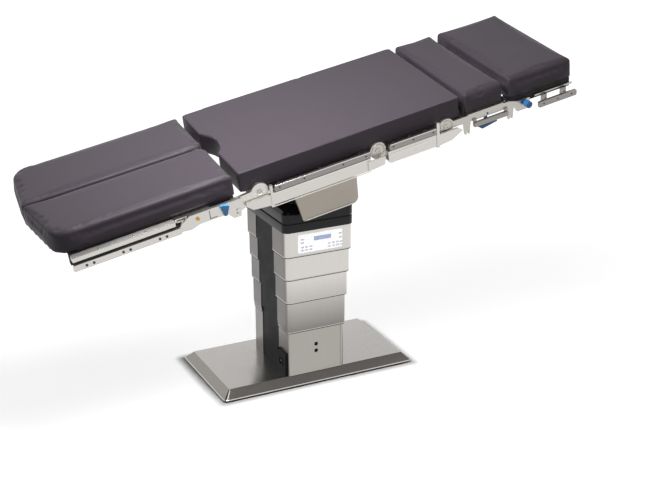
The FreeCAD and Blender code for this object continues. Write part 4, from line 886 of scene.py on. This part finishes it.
def makeCamera():
    az = math.radians(camera["azimuth"])
    el = math.radians(camera["elevation"])
    back = Vector((math.sin(az) * math.cos(el), -math.cos(az) * math.cos(el), math.sin(el)))
    data = bpy.data.cameras.new("camera")
    data.lens = camera["lens"]
    data.sensor_width = 36
    obj = bpy.data.objects.new("camera", data)
    obj.location = Vector(camera["target"]) + back * camera["distance"]
    obj.rotation_euler = back.to_track_quat("Z", "Y").to_euler()
    bpy.context.scene.collection.objects.link(obj)
    bpy.context.scene.camera = obj


def seenRays(tree):
    # 1 for what the camera sees, itself or by way of gloss or glass
    rays = addNode(tree, "ShaderNodeLightPath").outputs
    either = addNode(tree, "ShaderNodeMath", {"operation": "MAXIMUM"},
                     {0: rays["Is Camera Ray"], 1: rays["Is Glossy Ray"]})
    return addNode(tree, "ShaderNodeMath", {"operation": "MAXIMUM"},
                   {0: either.outputs[0], 1: rays["Is Transmission Ray"]}).outputs[0]


def floorGlow(tree):
    # grows with the distance, and fades out beside the base: a painted contact shadow round the
    # base
    place = objectPosition(tree, (1, 1, 1))
    away = addNode(tree, "ShaderNodeVectorMath", {"operation": "LENGTH"}, {"Vector": place})
    near, far = studio["nearFar"]
    glow = addNode(tree, "ShaderNodeMapRange",
                   {"From Min": near, "From Max": far, "To Min": studio["floorNear"],
                    "To Max": studio["floorFar"]}, {"Value": away.outputs["Value"]})
    mat = nodes["base_rubber_mat"].data.vertices
    half = [max(abs(v.co[axis]) for v in mat) for axis in (0, 1)] + [1.0]
    beside = addNode(tree, "ShaderNodeVectorMath", {"operation": "ABSOLUTE"}, {"Vector": place})
    for operation, value in (("SUBTRACT", half), ("MAXIMUM", (0, 0, 0))):
        step = addNode(tree, "ShaderNodeVectorMath", {"operation": operation},
                       {0: beside.outputs["Vector"]})
        step.inputs[1].default_value = value
        beside = step
    gap = addNode(tree, "ShaderNodeVectorMath", {"operation": "LENGTH"},
                  {"Vector": beside.outputs["Vector"]})
    # painted shadow: the floor's glow is faded out near the base's outline
    fade = addNode(tree, "ShaderNodeMapRange",
                   {"interpolation_type": "SMOOTHSTEP", "From Min": 0.0,
                    "From Max": studio["paintedShadowWidth"]}, {"Value": gap.outputs["Value"]})
    return addNode(tree, "ShaderNodeMath", {"operation": "MULTIPLY"},
                   {0: glow.outputs["Result"], 1: fade.outputs["Result"]}).outputs[0]


def makeFloor():
    # the camera sees a white floor, gloss and glass see an even white, light sees a grey one
    deselectAll()
    bpy.ops.mesh.primitive_plane_add(size=60, location=(0, 0, 0))
    floor = bpy.context.object
    floor.name = "floor"
    material, tree, shader = newMaterial("paleFloor", "#f4f4f4", 0.0, 0.6)
    tree.nodes.remove(shader)
    rays = addNode(tree, "ShaderNodeLightPath").outputs
    diffuse = addNode(tree, "ShaderNodeBsdfDiffuse", {}, {
        "Color": mixColours(tree, rays["Is Camera Ray"], "#8a8a8a", "#f0f0f0")})
    seen = addNode(tree, "ShaderNodeMath", {"operation": "MULTIPLY"},
                   {0: rays["Is Camera Ray"], 1: floorGlow(tree)})
    light = addNode(tree, "ShaderNodeEmission", {"Color": (1, 1, 1, 1)},
                    {"Strength": seen.outputs[0]})
    both = addNode(tree, "ShaderNodeAddShader", {},
                   {0: diffuse.outputs["BSDF"], 1: light.outputs["Emission"]})
    mirrored = addNode(tree, "ShaderNodeEmission", {"Color": (1, 1, 1, 1),
                                                    "Strength": studio["floorInGloss"]})
    glossy = addNode(tree, "ShaderNodeMath", {"operation": "MAXIMUM"},
                     {0: rays["Is Glossy Ray"], 1: rays["Is Transmission Ray"]})
    choose = addNode(tree, "ShaderNodeMixShader", {}, {
        0: glossy.outputs[0], 1: both.outputs["Shader"], 2: mirrored.outputs["Emission"]})
    tree.links.new(choose.outputs["Shader"], tree.nodes["Material Output"].inputs["Surface"])
    setMaterial(floor, material)


def makeLight(name, place, size, power, aim=(0, 0, 0.7)):
    data = bpy.data.lights.new(name, "AREA")
    data.shape = "RECTANGLE"
    data.size, data.size_y = size
    data.energy = power
    obj = bpy.data.objects.new(name, data)
    obj.location = place
    direction = Vector(place) - Vector(aim)
    obj.rotation_euler = direction.to_track_quat("Z", "Y").to_euler()
    bpy.context.scene.collection.objects.link(obj)


makeCamera()
makeFloor()
for lamp in studio["lamps"]:
    makeLight(*lamp)

world = bpy.data.worlds.new("studio")
bpy.context.scene.world = world
world.use_nodes = True
tree = world.node_tree
background = tree.nodes["Background"]
background.inputs["Color"].default_value = (1, 1, 1, 1)
level = addNode(tree, "ShaderNodeMapRange", {"To Min": studio["worldLight"], "To Max": 1.0},
                {"Value": seenRays(tree)})
tree.links.new(level.outputs["Result"], background.inputs["Strength"])
bpy.context.scene.view_settings.view_transform = "Standard"
print("studio is set")
